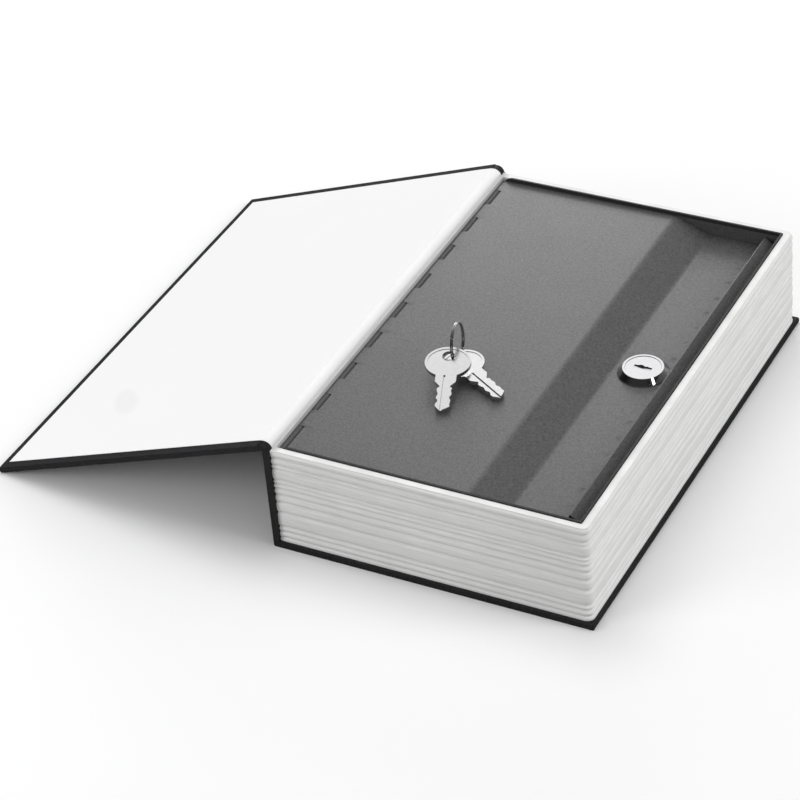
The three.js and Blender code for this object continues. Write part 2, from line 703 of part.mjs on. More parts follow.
function lockNut() {
  const shape = new THREE.Shape();
  const corner = NUT_FLATS / Math.sqrt(3);
  for (let side = 0; side < 6; side++) {
    const angle = (side * Math.PI) / 3;
    const x = LOCK_X + corner * Math.cos(angle);
    const y = LOCK_Y + corner * Math.sin(angle);
    side ? shape.lineTo(x, y) : shape.moveTo(x, y);
  }
  const hole = uprightRod(BARREL_RADIUS + SCREW_FIT, LOCK_X, LOCK_Y, CAM_TOP_Z, LID_UNDER_Z);
  return alongZ(shape, WASHER_UNDER_Z - NUT_HEIGHT, WASHER_UNDER_Z).subtract(hole);
}

// The cam points along the spine while unlocked.
function lockCam() {
  const shape = new THREE.Shape();
  const join = Math.acos(CAM_ARM / CAM_HUB);
  const tip = Math.asin(CAM_ARM / CAM_REACH);
  shape.absarc(LOCK_X, LOCK_Y, CAM_HUB, Math.PI - join, join, false);
  shape.absarc(LOCK_X, LOCK_Y, CAM_REACH, Math.PI / 2 - tip, Math.PI / 2 + tip, false);
  const half = TAIL_SIDE / 2 + TAIL_FIT;
  const hole = block(LOCK_X - half, LOCK_X + half, LOCK_Y - half, LOCK_Y + half, 0, RIM_Z);
  return alongZ(shape, CAM_UNDER_Z, CAM_TOP_Z, 6).subtract(hole);
}

const CAM_WASHER_UNDER_Z = CAM_UNDER_Z - WASHER_HEIGHT;

function camWasher() {
  const inner = SCREW_RADIUS + SCREW_FIT;
  return uprightRing(inner, CAM_WASHER_RADIUS, LOCK_X, LOCK_Y, CAM_WASHER_UNDER_Z, CAM_UNDER_Z, 32);
}

function camScrew() {
  const headUnder = CAM_WASHER_UNDER_Z - SCREW_HEAD_HEIGHT;
  const profile = [
    [0, headUnder],
    [SCREW_CROWN_RADIUS, headUnder],
    [SCREW_HEAD_RADIUS, headUnder + SCREW_HEAD_HEIGHT / 2],
    [SCREW_HEAD_RADIUS, CAM_WASHER_UNDER_Z],
    [SCREW_RADIUS, CAM_WASHER_UNDER_Z],
    [SCREW_RADIUS, CAM_UNDER_Z + SCREW_DEPTH],
    [0, CAM_UNDER_Z + SCREW_DEPTH],
  ];
  return turned(profile, LOCK_X, LOCK_Y, 20);
}

// Keys, drawn with the hole at the origin, the blade along X and the upper face at height 0

// One edge of the blade: a short run at each cut's depth, with slopes between.
function bladeEdge(bitting, side) {
  const pitch = (BLADE_END - BLADE_START) / bitting.length;
  const flat = CUT_FLAT_SHARE * pitch;
  const points = [[BLADE_START, side * BLADE_HALF_WIDTH]];
  bitting.forEach((depth, index) => {
    const middle = BLADE_START + (index + 0.5) * pitch;
    const width = side * (BLADE_HALF_WIDTH - depth);
    points.push([middle - flat, width], [middle + flat, width]);
  });
  points.push([BLADE_END, side * (BLADE_HALF_WIDTH - BLADE_END_CUT)]);
  return points;
}

function keyShape() {
  const shape = new THREE.Shape();
  const start = Math.asin(SHANK_HALF_WIDTH / HEAD_HALF_WIDTH);
  const along = HEAD_HALF_LENGTH;
  shape.absellipse(HEAD_CENTRE, 0, along, HEAD_HALF_WIDTH, start, 2 * Math.PI - start, false);
  const left = [
    [SHANK_END, -SHANK_HALF_WIDTH],
    [NECK, -NECK_HALF_WIDTH],
    ...bladeEdge(BITTING_ONE, -1),
    [KEY_TIP, -KEY_TIP_LEFT],
  ];
  const right = [
    [SHANK_END, SHANK_HALF_WIDTH],
    [NECK, NECK_HALF_WIDTH],
    ...bladeEdge(BITTING_TWO, 1),
    [KEY_TIP - KEY_TIP_SLANT, KEY_TIP_RIGHT],
    [KEY_TIP, -KEY_TIP_MIDDLE],
  ];
  for (const [x, y] of [...left, ...right.reverse()]) {
    shape.lineTo(x, y);
  }
  return shape;
}

function keyBlank() {
  const plate = alongZ(keyShape(), -KEY_HEIGHT, 0, 20);
  const recessShape = new THREE.Shape();
  const along = HEAD_HALF_LENGTH - HEAD_BORDER;
  recessShape.absellipse(HEAD_CENTRE, 0, along, HEAD_HALF_WIDTH - HEAD_BORDER, 0, 2 * Math.PI, false);
  const beyond = block(HEAD_RECESS_END, KEY_TIP, -HEAD_HALF_WIDTH, HEAD_HALF_WIDTH, -KEY_HEIGHT, KEY_HEIGHT);
  const recess = alongZ(recessShape, -HEAD_RECESS, KEY_HEIGHT, 16).subtract(beyond);
  const hole = uprightRod(KEY_HOLE, 0, 0, -KEY_HEIGHT - COVER, COVER, 28);
  const grooveY = BLADE_GROOVE_SIDE;
  const halfGroove = BLADE_GROOVE_WIDTH / 2;
  const groove = block(
    BLADE_GROOVE_START,
    KEY_TIP + COVER,
    grooveY - halfGroove,
    grooveY + halfGroove,
    -BLADE_GROOVE_DEPTH,
    COVER,
  );
  return plate.subtract(recess).subtract(hole).subtract(groove);
}

// A key whose tip rests on the lid, turned by yaw and raised by pitch towards its head.
function placedKey(name, tipX, tipY, yaw, pitch) {
  const mesh = piece(name, keyBlank(), keySteel());
  mesh.rotation.set(0, THREE.MathUtils.degToRad(pitch), THREE.MathUtils.degToRad(yaw), "ZYX");
  const along = new THREE.Vector3(1, 0, 0).applyEuler(mesh.rotation);
  const up = new THREE.Vector3(0, 0, 1).applyEuler(mesh.rotation);
  mesh.position.set(tipX, tipY, LID_Z + KEY_REST);
  mesh.position.addScaledVector(up, KEY_HEIGHT).addScaledVector(along, -KEY_TIP);
  return mesh;
}

// Split ring: a flat coil of two turns, standing on the lid.
class SplitRingCurve extends THREE.Curve {
  getPoint(t, target = new THREE.Vector3()) {
    const turn = THREE.MathUtils.degToRad(RING_START) + t * RING_TURNS * 2 * Math.PI;
    const aside = (t - 0.5) * RING_TURNS * WIRE_PITCH;
    return target.set(aside, RING_RADIUS * Math.cos(turn), RING_RADIUS * Math.sin(turn));
  }
}

function keyRing() {
  const wire = new THREE.Shape();
  wire.absarc(0, 0, WIRE_RADIUS, 0, 2 * Math.PI, false);
  const geometry = new THREE.ExtrudeGeometry(wire, {
    steps: 84,
    curveSegments: 4,
    extrudePath: new SplitRingCurve(),
    bevelEnabled: false,
  });
  const mesh = piece("key_ring", solid(geometry), chrome());
  const lean = THREE.MathUtils.degToRad(RING_LEAN);
  mesh.rotation.set(0, lean, THREE.MathUtils.degToRad(RING_TURN), "ZYX");
  const foot = RING_RADIUS * Math.cos(lean) + WIRE_RADIUS + KEY_REST;
  mesh.position.set(RING_X, RING_Y, LID_Z + foot);
  return mesh;
}

// Whole safe

function openCover() {
  const cover = new THREE.Group();
  cover.name = "cover";
  cover.add(piece("front_cloth", frontCloth(), cloth()));
  cover.add(piece("front_board", frontBoard(), board()));
  cover.add(piece("front_endpaper", frontEndpaper(), paper()));
  cover.add(piece("cover_magnet", coverMagnet(), zinc()));
  cover.position.set(FOLD_X, 0, FOLD_Z);
  cover.rotation.y = -Math.PI - DROOP;
  return cover;
}

function bookSafe() {
  const safe = new THREE.Group();
  safe.name = "book_safe";
  safe.add(piece("case_cloth", caseCloth(), cloth()));
  safe.add(piece("back_board", backBoard(), board()));
  safe.add(piece("back_endpaper", backEndpaper(), paper()));
  safe.add(piece("spine_board", spineBoard(), board()));
  safe.add(piece("spine_lining", spineLining(), paper()));
  safe.add(piece("cover_joint", coverJoint(), cloth()));
  safe.add(piece("joint_lining", jointLining(), paper()));
  safe.add(openCover());
  safe.add(piece("page_block", pageBlock(), pages()));
  safe.add(piece("steel_box", steelBox(), darkSteel()));
  safe.add(piece("hinge_pin", hingePin(), zinc()));
  safe.add(piece("lid", lid(), greySteel()));
  safe.add(piece("lock_housing", lockHousing(), chrome()));
  safe.add(piece("lock_plug", lockPlug(), chrome()));
  for (let index = 0; index < WAFERS; index++) {
    safe.add(piece(`wafer_${index + 1}`, wafer(index), brass()));
  }
  safe.add(piece("lock_washer", lockWasher(), zinc()));
  safe.add(piece("lock_nut", lockNut(), zinc()));
  safe.add(piece("lock_cam", lockCam(), zinc()));
  safe.add(piece("cam_washer", camWasher(), zinc()));
  safe.add(piece("cam_screw", camScrew(), zinc()));
  safe.add(placedKey("key_front", FRONT_TIP_X, FRONT_TIP_Y, FRONT_YAW, FRONT_PITCH));
  safe.add(placedKey("key_back", BACK_TIP_X, BACK_TIP_Y, BACK_YAW, BACK_PITCH));
  safe.add(keyRing());
  return safe;
}

export default bookSafe();
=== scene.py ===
"""Looks, light and camera of a book shaped cash box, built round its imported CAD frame.

Sizes are in millimetres and angles in degrees, unless a docstring says otherwise.
"""

import json
import logging
import math
from dataclasses import dataclass, field, replace
from enum import Enum

import bpy
import numpy as np
from mathutils import Matrix, Vector


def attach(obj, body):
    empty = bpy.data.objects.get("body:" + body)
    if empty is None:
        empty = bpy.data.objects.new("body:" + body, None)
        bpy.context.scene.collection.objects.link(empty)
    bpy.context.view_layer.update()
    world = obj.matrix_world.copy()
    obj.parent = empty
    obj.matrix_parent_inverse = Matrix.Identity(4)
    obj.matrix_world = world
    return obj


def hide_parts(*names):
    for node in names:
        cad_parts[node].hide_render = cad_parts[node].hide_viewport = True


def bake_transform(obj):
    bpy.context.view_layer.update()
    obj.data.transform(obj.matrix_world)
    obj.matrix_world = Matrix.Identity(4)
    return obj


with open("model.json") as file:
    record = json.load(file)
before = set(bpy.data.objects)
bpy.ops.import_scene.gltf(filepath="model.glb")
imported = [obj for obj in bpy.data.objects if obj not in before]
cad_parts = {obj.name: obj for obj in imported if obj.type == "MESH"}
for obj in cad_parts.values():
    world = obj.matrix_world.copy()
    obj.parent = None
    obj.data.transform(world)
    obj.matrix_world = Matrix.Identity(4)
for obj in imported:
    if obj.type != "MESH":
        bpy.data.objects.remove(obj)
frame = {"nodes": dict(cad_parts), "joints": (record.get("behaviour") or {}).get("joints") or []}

log = logging.getLogger("book_safe")

MM = 0.001
Pair = tuple[float, float]
Triple = tuple[float, float, float]


def joint_place(name: str) -> Triple:
    """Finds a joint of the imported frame.

    Args:
        name: name of the joint.

    Returns:
        A point on its axis, in millimetres.
    """
    found = next(joint for joint in frame["joints"] if joint["name"] == name)
    x, y, z = (round(c / MM, 3) for c in found["pos_m"])
    return x, y, z


# Surfaces from arrays


@dataclass
class Surface:
    """Points in millimetres and the faces between them, which other surfaces can be added to."""

    points: np.ndarray
    faces: list[tuple[int, ...]]
    marks: np.ndarray | None = None

    def plus(self, other: "Surface") -> "Surface":
        """Joins another surface to this one.

        Args:
            other: the surface to add.

        Returns:
            One surface with the points and faces of both.
        """
        shift = len(self.points)
        faces = self.faces + [tuple(i + shift for i in face) for face in other.faces]
        mine = self.marks if self.marks is not None else np.zeros(shift)
        theirs = other.marks if other.marks is not None else np.zeros(len(other.points))
        return Surface(np.vstack([self.points, other.points]), faces, np.concatenate([mine, theirs]))


def lofted(
    rings: np.ndarray,
    closed: bool = False,
    capped: bool = True,
    marks: np.ndarray | None = None,
    outline_closed: bool = True,
) -> Surface:
    """Joins a stack of outlines into a surface: each quad spans two neighbouring outlines and points.

    Args:
        rings: array of shape (outlines, points, 3).
        closed: the last outline joins the first.
        capped: the first and last outlines are filled by one face each.
        marks: a value per point, of shape (outlines, points), for materials to read.
        outline_closed: the last point of an outline joins its first.

    Returns:
        The surface, its faces turned the way the outlines run.
    """
    count, size = rings.shape[:2]
    rows = np.arange(count if closed else count - 1)
    columns = np.arange(size if outline_closed else size - 1)
    row, here = (grid.ravel() for grid in np.meshgrid(rows, columns, indexing="ij"))
    low = row * size
    high = (row + 1) % count * size
    beside = (here + 1) % size
    quads = np.stack([low + here, low + beside, high + beside, high + here], axis=1)
    faces = [tuple(q) for q in quads.tolist()]
    if capped and not closed:
        faces.append(tuple(range(size))[::-1])
        faces.append(tuple(range((count - 1) * size, count * size)))
    flat = None if marks is None else marks.reshape(-1)
    return Surface(rings.reshape(-1, 3), faces, flat)


def carried(section: np.ndarray, places: np.ndarray | list[float]) -> np.ndarray:
    """Carries a section in X and Z along Y.

    Args:
        section: array of shape (n, 2), or of shape (places, n, 2) where it changes on the way.
        places: where it goes.

    Returns:
        Outlines of shape (places, n, 3).
    """
    rings = np.zeros((len(places), section.shape[-2], 3))
    rings[..., ::2] = section
    rings[..., 1] = np.array(places)[:, None]
    return rings


def border(grid: np.ndarray) -> np.ndarray:
    """Returns what lies at the border of a grid, its array's first two axes, once round in order."""
    return np.concatenate([grid[:, 0], grid[-1, 1:], grid[-2::-1, -1], grid[0, -2:0:-1]])


def placed(name: str, surface: Surface, sharp_above: float = 35.0) -> bpy.types.Object:
    """Makes a Blender object of a surface.

    Args:
        name: name of the object.
        surface: points in millimetres.
        sharp_above: edges turning by more than this many degrees stay sharp.

    Returns:
        The object, at the origin, its place in its points.
    """
    mesh = bpy.data.meshes.new(name)
    mesh.from_pydata((surface.points * MM).tolist(), [], surface.faces)
    mesh.validate()
    mesh.update()
    if surface.marks is not None:
        attribute = mesh.attributes.new("mark", "FLOAT", "POINT")
        attribute.data.foreach_set("value", surface.marks.astype(np.float32))
    mesh.shade_smooth()
    mesh.set_sharp_from_angle(angle=math.radians(sharp_above))
    made = bpy.data.objects.new(name, mesh)
    bpy.context.scene.collection.objects.link(made)
    return made


def rounded_line(points: list[Pair], radii: list[float], steps: int) -> np.ndarray:
    """A polyline whose inner corners are arcs.

    Each arc touches both lines at radius * tan(turn / 2) from the corner.

    Args:
        points: the corners in order.
        radii: a radius for each inner corner.
        steps: points per arc, less one.

    Returns:
        Array of shape (n, 2).
    """
    corners = np.array(points, float)
    out = [corners[:1]]
    for i, radius in enumerate(radii, start=1):
        into = (corners[i] - corners[i - 1]) / np.linalg.norm(corners[i] - corners[i - 1])
        away = (corners[i + 1] - corners[i]) / np.linalg.norm(corners[i + 1] - corners[i])
        turn = math.atan2(into[0] * away[1] - into[1] * away[0], into @ away)
        start = corners[i] - into * radius * math.tan(abs(turn) / 2)
        arm = np.array([into[1], -into[0]]) * math.copysign(radius, turn)
        angles = np.linspace(0, turn, steps + 1)
        cos, sin = np.cos(angles), np.sin(angles)
        swept = np.stack([arm[0] * cos - arm[1] * sin, arm[0] * sin + arm[1] * cos], axis=1)
        out.append(start - arm + swept)
    out.append(corners[-1:])
    return np.vstack(out)


def offset_line(line: np.ndarray, distance: float) -> np.ndarray:
    """The same line moved sideways to its right, each point along the mean of its neighbours' normals.

    Args:
        line: array of shape (n, 2).
        distance: how far to move it.

    Returns:
        Array of shape (n, 2).
    """
    along = np.gradient(line, axis=0)
    along /= np.linalg.norm(along, axis=1, keepdims=True)
    return line + distance * np.stack([along[:, 1], -along[:, 0]], axis=1)


def rounded_rectangle(low: Pair, high: Pair, radii: tuple[float, ...], side: int, corner: int) -> np.ndarray:
    """An outline against the clock from the spine's near corner: each corner an arc of its own radius.

    Args:
        low: spine side and near side.
        high: fore-edge side and far side.
        radii: near spine, near fore-edge, far fore-edge, far spine.
        side: points added along each straight side.
        corner: points in each corner.

    Returns:
        Array of shape (4 * (side + corner), 2).
    """
    (x0, y0), (x1, y1) = low, high
    middles = [
        (x0 + radii[0], y0 + radii[0]),
        (x1 - radii[1], y0 + radii[1]),
        (x1 - radii[2], y1 - radii[2]),
        (x0 + radii[3], y1 - radii[3]),
    ]
    corners = []
    for quarter, (middle, radius) in enumerate(zip(middles, radii), start=2):
        angles = np.linspace(quarter * math.pi / 2, (quarter + 1) * math.pi / 2, corner)
        corners.append(middle + radius * np.stack([np.cos(angles), np.sin(angles)], axis=1))
    share = np.linspace(0, 1, side + 2)[1:-1, None]
    out = []
    for this, following in zip(corners, corners[1:] + corners[:1]):
        out += [this, this[-1] * (1 - share) + following[0] * share]
    return np.vstack(out)


# Finishes


class Texture(Enum):
    """The fine structure of a finish."""

    LEATHER = "leather"
    POWDER = "powder"
    PAPER = "paper"
    PAGES = "pages"
    METAL = "metal"


class Graph:
    """The nodes of one tree, joined as they are made."""

    def __init__(self, tree: bpy.types.NodeTree) -> None:
        """Takes the tree to build in."""
        self.nodes = tree.nodes
        self.links = tree.links

    def join(self, socket: bpy.types.NodeSocket, value: object) -> None:
        """Joins an output to an input, or sets the input's value.

        Args:
            socket: the input.
            value: an output socket, or a plain value.
        """
        if isinstance(value, bpy.types.NodeSocket):
            self.links.new(value, socket)
        else:
            socket.default_value = value

    def add(self, kind: str, sockets: dict[str, object] | None = None, **settings: object) -> bpy.types.Node:
        """Adds a node.

        Args:
            kind: its type, without the leading ShaderNode.
            sockets: what its inputs get, by name.
            settings: its own properties.

        Returns:
            The node.
        """
        node = self.nodes.new("ShaderNode" + kind)
        for name, value in settings.items():
            setattr(node, name, value)
        for name, value in (sockets or {}).items():
            self.join(node.inputs[name], value)
        return node

    def math(self, operation: str, *values: object) -> bpy.types.NodeSocket:
        """Adds a sum.

        Args:
            operation: Blender's name for it.
            values: its inputs in order.

        Returns:
            Its result.
        """
        node = self.add("Math", operation=operation)
        for socket, value in zip(node.inputs, values):
            self.join(socket, value)
        return node.outputs[0]

    def remap(self, value: object, given: Pair, wanted: Pair) -> bpy.types.NodeSocket:
        """Returns a value stretched from its given range to the wanted one, held at both ends."""
        ends = dict(zip(("From Min", "From Max", "To Min", "To Max"), (*given, *wanted)))
        return self.add("MapRange", {"Value": value, **ends}).outputs["Result"]


NOISE_RANGE = (0.3, 0.7)
GLOSS_PATCHES = 90.0
GLOSS_CHANGE = 0.03
COLOUR_PATCHES = 28.0
COARSE_SCALE = 0.55
COARSE_SHARE = 0.4
PAGE_STRETCH = (0.03, 0.03, 1.0)
DARK_SHARE = 0.35
DARK_EDGE = 0.0002
FLAT_WITHIN = 0.6


@dataclass(frozen=True)
class Finish:
    """A procedural finish on object coordinates.

    Args:
        slot: the record's material slot.
        colour: base colour.
        roughness: base roughness.
        texture: fine structure.
        metallic: 1 for bare metal.
        specular: strength of a paint's or cloth's gloss.
        grain: features per metre.
        depth: height of the fine structure, in metres.
        spread: how much lighter and darker the fine structure is.
        mottle: how much lighter and darker wide patches are.
        groove: how much darker the marked points are, from 0 to 1: painted shade in the page grooves, on the
            lining's bend and beside the spine, and the faint smudge over the magnet on the endpaper.
        painted_shade_from: height in metres above which the colour is darkened to nearly black, as painted
            shade of the gap between the rim and the lid, or None.
    """

    slot: str
    colour: Triple
    roughness: float
    texture: Texture
    metallic: float = 0.0
    specular: float = 0.5
    grain: float = 900.0
    depth: float = 0.00003
    spread: float = 0.06
    mottle: float = 0.02
    groove: float = 0.0
    painted_shade_from: float | None = None

    def material(self) -> bpy.types.Material:
        """Builds the finish's node tree, once.

        Returns:
            The material.
        """
        name = f"{self.slot}_{self.texture.value}"
        if name in bpy.data.materials:
            return bpy.data.materials[name]
        material = bpy.data.materials.new(name)
        material.use_nodes = True
        graph = Graph(material.node_tree)
        shader = graph.nodes["Principled BSDF"]
        place = graph.add("TexCoord").outputs["Object"]
        scale = PAGE_STRETCH if self.texture is Texture.PAGES else (1.0, 1.0, 1.0)
        grain = graph.add("Mapping", {"Vector": place, "Scale": scale}).outputs["Vector"]
        fine = graph.add("TexNoise", {"Vector": grain, "Scale": self.grain, "Detail": 3.0}).outputs["Fac"]
        height = self._height(graph, grain, fine)
        bump = graph.add("Bump", {"Strength": 1.0, "Distance": self.depth, "Height": height})
        wide = graph.add("TexNoise", {"Vector": place, "Scale": GLOSS_PATCHES}).outputs["Fac"]
        most = min(1.0, self.roughness * (1 + GLOSS_CHANGE))
        rough = graph.remap(wide, NOISE_RANGE, (self.roughness * (1 - GLOSS_CHANGE), most))
        graph.join(shader.inputs["Metallic"], self.metallic)
        graph.join(shader.inputs["Specular IOR Level"], self.specular)
        graph.join(shader.inputs["Normal"], bump.outputs["Normal"])
        graph.join(shader.inputs["Roughness"], rough)
        graph.join(shader.inputs["Base Color"], self._coloured(graph, place, height))
        return material

    def _height(self, graph: Graph, grain: object, fine: object) -> object:
        """Mixes the height of the fine structure.

        Powder is a coarse noise mixed with the fine one. Leather is 0.4 + fine noise - 0.8 * the distance
        from the middle of its pebble.

        Args:
            graph: the material's nodes.
            grain: the texture's coordinates.
            fine: the fine noise.

        Returns:
            The output that gives the height, about 0 to 1.
        """
        if self.texture is Texture.POWDER:
            coarse = graph.add("TexNoise", {"Vector": grain, "Scale": self.grain * COARSE_SCALE})
            rest = graph.math("MULTIPLY", fine, 1 - COARSE_SHARE)
            return graph.math("MULTIPLY_ADD", coarse.outputs["Fac"], COARSE_SHARE, rest)
        if self.texture is not Texture.LEATHER:
            return fine
        pebbles = graph.add("TexVoronoi", {"Vector": grain, "Scale": self.grain}, feature="SMOOTH_F1")
        return graph.math("MULTIPLY_ADD", pebbles.outputs["Distance"], -0.8, graph.math("ADD", fine, 0.4))

    def _coloured(self, graph: Graph, place: object, height: object) -> object:
        """Shades the base colour: lighter on the high points, mottled widely, darker where marked (painted
        shade, and the smudge over the magnet) and darker above a given height as painted shade.

        Args:
            graph: the material's nodes.
            place: the object's coordinates.
            height: the height of the fine structure.

        Returns:
            The output that gives the colour.
        """
        wide = graph.add("TexNoise", {"Vector": place, "Scale": COLOUR_PATCHES}).outputs["Fac"]
        shade = graph.math(
            "MULTIPLY",
            graph.remap(height, NOISE_RANGE, (1 - self.spread, 1 + self.spread)),
            graph.remap(wide, NOISE_RANGE, (1 - self.mottle, 1 + self.mottle)),
        )
        # The mark darkens the colour: painted shade on the pages and the lining, the smudge over the magnet
        # on the endpaper.
        if self.groove:
            mark = graph.add("Attribute", attribute_name="mark").outputs["Fac"]
            shade = graph.math("MULTIPLY", shade, graph.math("MULTIPLY_ADD", mark, -self.groove, 1.0))
        # Painted shade: above a given height the colour darkens to nearly black, standing in for the shadow
        # in the gap between the rim and the lid.
        if self.painted_shade_from is not None:
            above = graph.add("SeparateXYZ", {"Vector": place}).outputs["Z"]
            ends = (self.painted_shade_from - DARK_EDGE, self.painted_shade_from + DARK_EDGE)
            shade = graph.math("MULTIPLY", shade, graph.remap(above, ends, (1.0, DARK_SHARE)))
        scaled = graph.add("VectorMath", {"Scale": shade}, operation="SCALE")
        graph.join(scaled.inputs[0], self.colour)
        return scaled.outputs["Vector"]


LEATHERETTE = Finish(
    "cover_cloth", (0.017, 0.017, 0.0185), 0.68, Texture.LEATHER,
    specular=0.32, grain=1000, depth=0.00009, spread=0.3, mottle=0.06,
)
JOINT_CLOTH = replace(LEATHERETTE, slot="joint_cloth")
BOARD = Finish("board", (0.35, 0.31, 0.25), 0.9, Texture.PAPER)
PAPER = Finish(
    "endpaper", (0.93, 0.93, 0.93), 0.9, Texture.PAPER,
    specular=0.1, grain=1500, depth=0.00001, spread=0.006, mottle=0.004, groove=0.05,
)
# groove=0.2 darkens the lining's bend as painted shade.
LINING = replace(PAPER, slot="lining", mottle=0.02, groove=0.2)
# The marks darken the page block's grooves and its rim beside the spine as painted shade.
PAGES = Finish(
    "page_block", (0.87, 0.868, 0.862), 0.6, Texture.PAGES,
    specular=0.2, grain=2600, depth=0.00009, spread=0.08, groove=0.34,
)
# The box wall's band above 51.1 mm is painted shade, darkened by height in the finish.
BOX_PAINT = Finish(
    "box_steel", (0.085, 0.085, 0.087), 0.5, Texture.POWDER,
    specular=0.35, grain=1500, depth=0.00004, spread=0.3, painted_shade_from=0.0511,
)
LID_PAINT = Finish(
    "lid_steel", (0.075, 0.075, 0.077), 0.42, Texture.POWDER,
    specular=1.0, grain=1500, depth=0.00008, spread=0.6,
)
METAL = Finish("plain metal", (0.6, 0.6, 0.62), 0.3, Texture.METAL, metallic=1.0)
MAGNET = replace(METAL, slot="magnet", roughness=0.25)
PIN_STEEL = replace(METAL, slot="pin_steel", colour=(0.3, 0.3, 0.31), roughness=0.35)
BRASS = replace(METAL, slot="wafer_brass", colour=(0.6, 0.48, 0.24))
ZINC = replace(METAL, slot="zinc", colour=(0.55, 0.56, 0.57), roughness=0.35, spread=0.12)
POLISHED = replace(METAL, depth=0.000002)
CHROME = replace(POLISHED, slot="lock_chrome", colour=(0.66, 0.66, 0.67), roughness=0.1, spread=0.03)
KEY_NICKEL = replace(
    POLISHED, slot="key_nickel", colour=(0.8, 0.8, 0.8), roughness=0.2, grain=500, spread=0.02
)
RING_STEEL = replace(POLISHED, slot="ring_chrome", colour=(0.7, 0.7, 0.71), roughness=0.12)


def dressed(thing: bpy.types.Object, look: Finish, body: str | None = None) -> bpy.types.Object:
    """Gives an object its finish, the record's slot and, when new, the body it rides on.

    Args:
        thing: the object.
        look: its finish.
        body: the body that a new piece moves with, or None for a CAD node.

    Returns:
        The same object.
    """
    thing.data.materials.clear()
    thing.data.materials.append(look.material())
    if body:
        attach(thing, body)
    log.info("%s: %s", thing.name, look.slot)
    return thing


def bevelled(thing: bpy.types.Object, width: float, above: float) -> bpy.types.BevelModifier:
    """Rounds the sharp edges of an object.

    Args:
        thing: the object.
        width: width of the rounding in millimetres.
        above: only edges turning by more than this many degrees are rounded.

    Returns:
        The modifier.
    """
    edge = thing.modifiers.new("edge", "BEVEL")
    edge.width = width * MM
    edge.segments = 2
    edge.limit_method = "ANGLE"
    edge.angle_limit = math.radians(above)
    return edge


def softened(node: str, look: Finish, width: float, smooth_below: float = 30.0) -> bpy.types.Object:
    """Shows a CAD node with its flat faces joined and its edges rounded.

    Args:
        node: name of the node.
        look: its finish.
        width: width of the rounding in millimetres.
        smooth_below: edges turning by less than this many degrees are shaded smooth.

    Returns:
        The node's object.
    """
    thing = frame["nodes"][node]
    thing.data.shade_smooth()
    thing.data.set_sharp_from_angle(angle=math.radians(smooth_below))
    flats = thing.modifiers.new("flats", "DECIMATE")
    flats.decimate_type = "DISSOLVE"
    flats.angle_limit = math.radians(FLAT_WITHIN)
    edge = bevelled(thing, width, smooth_below)
    edge.use_clamp_overlap = True
    edge.harden_normals = True
    return dressed(thing, look)


# Sub-assemblies


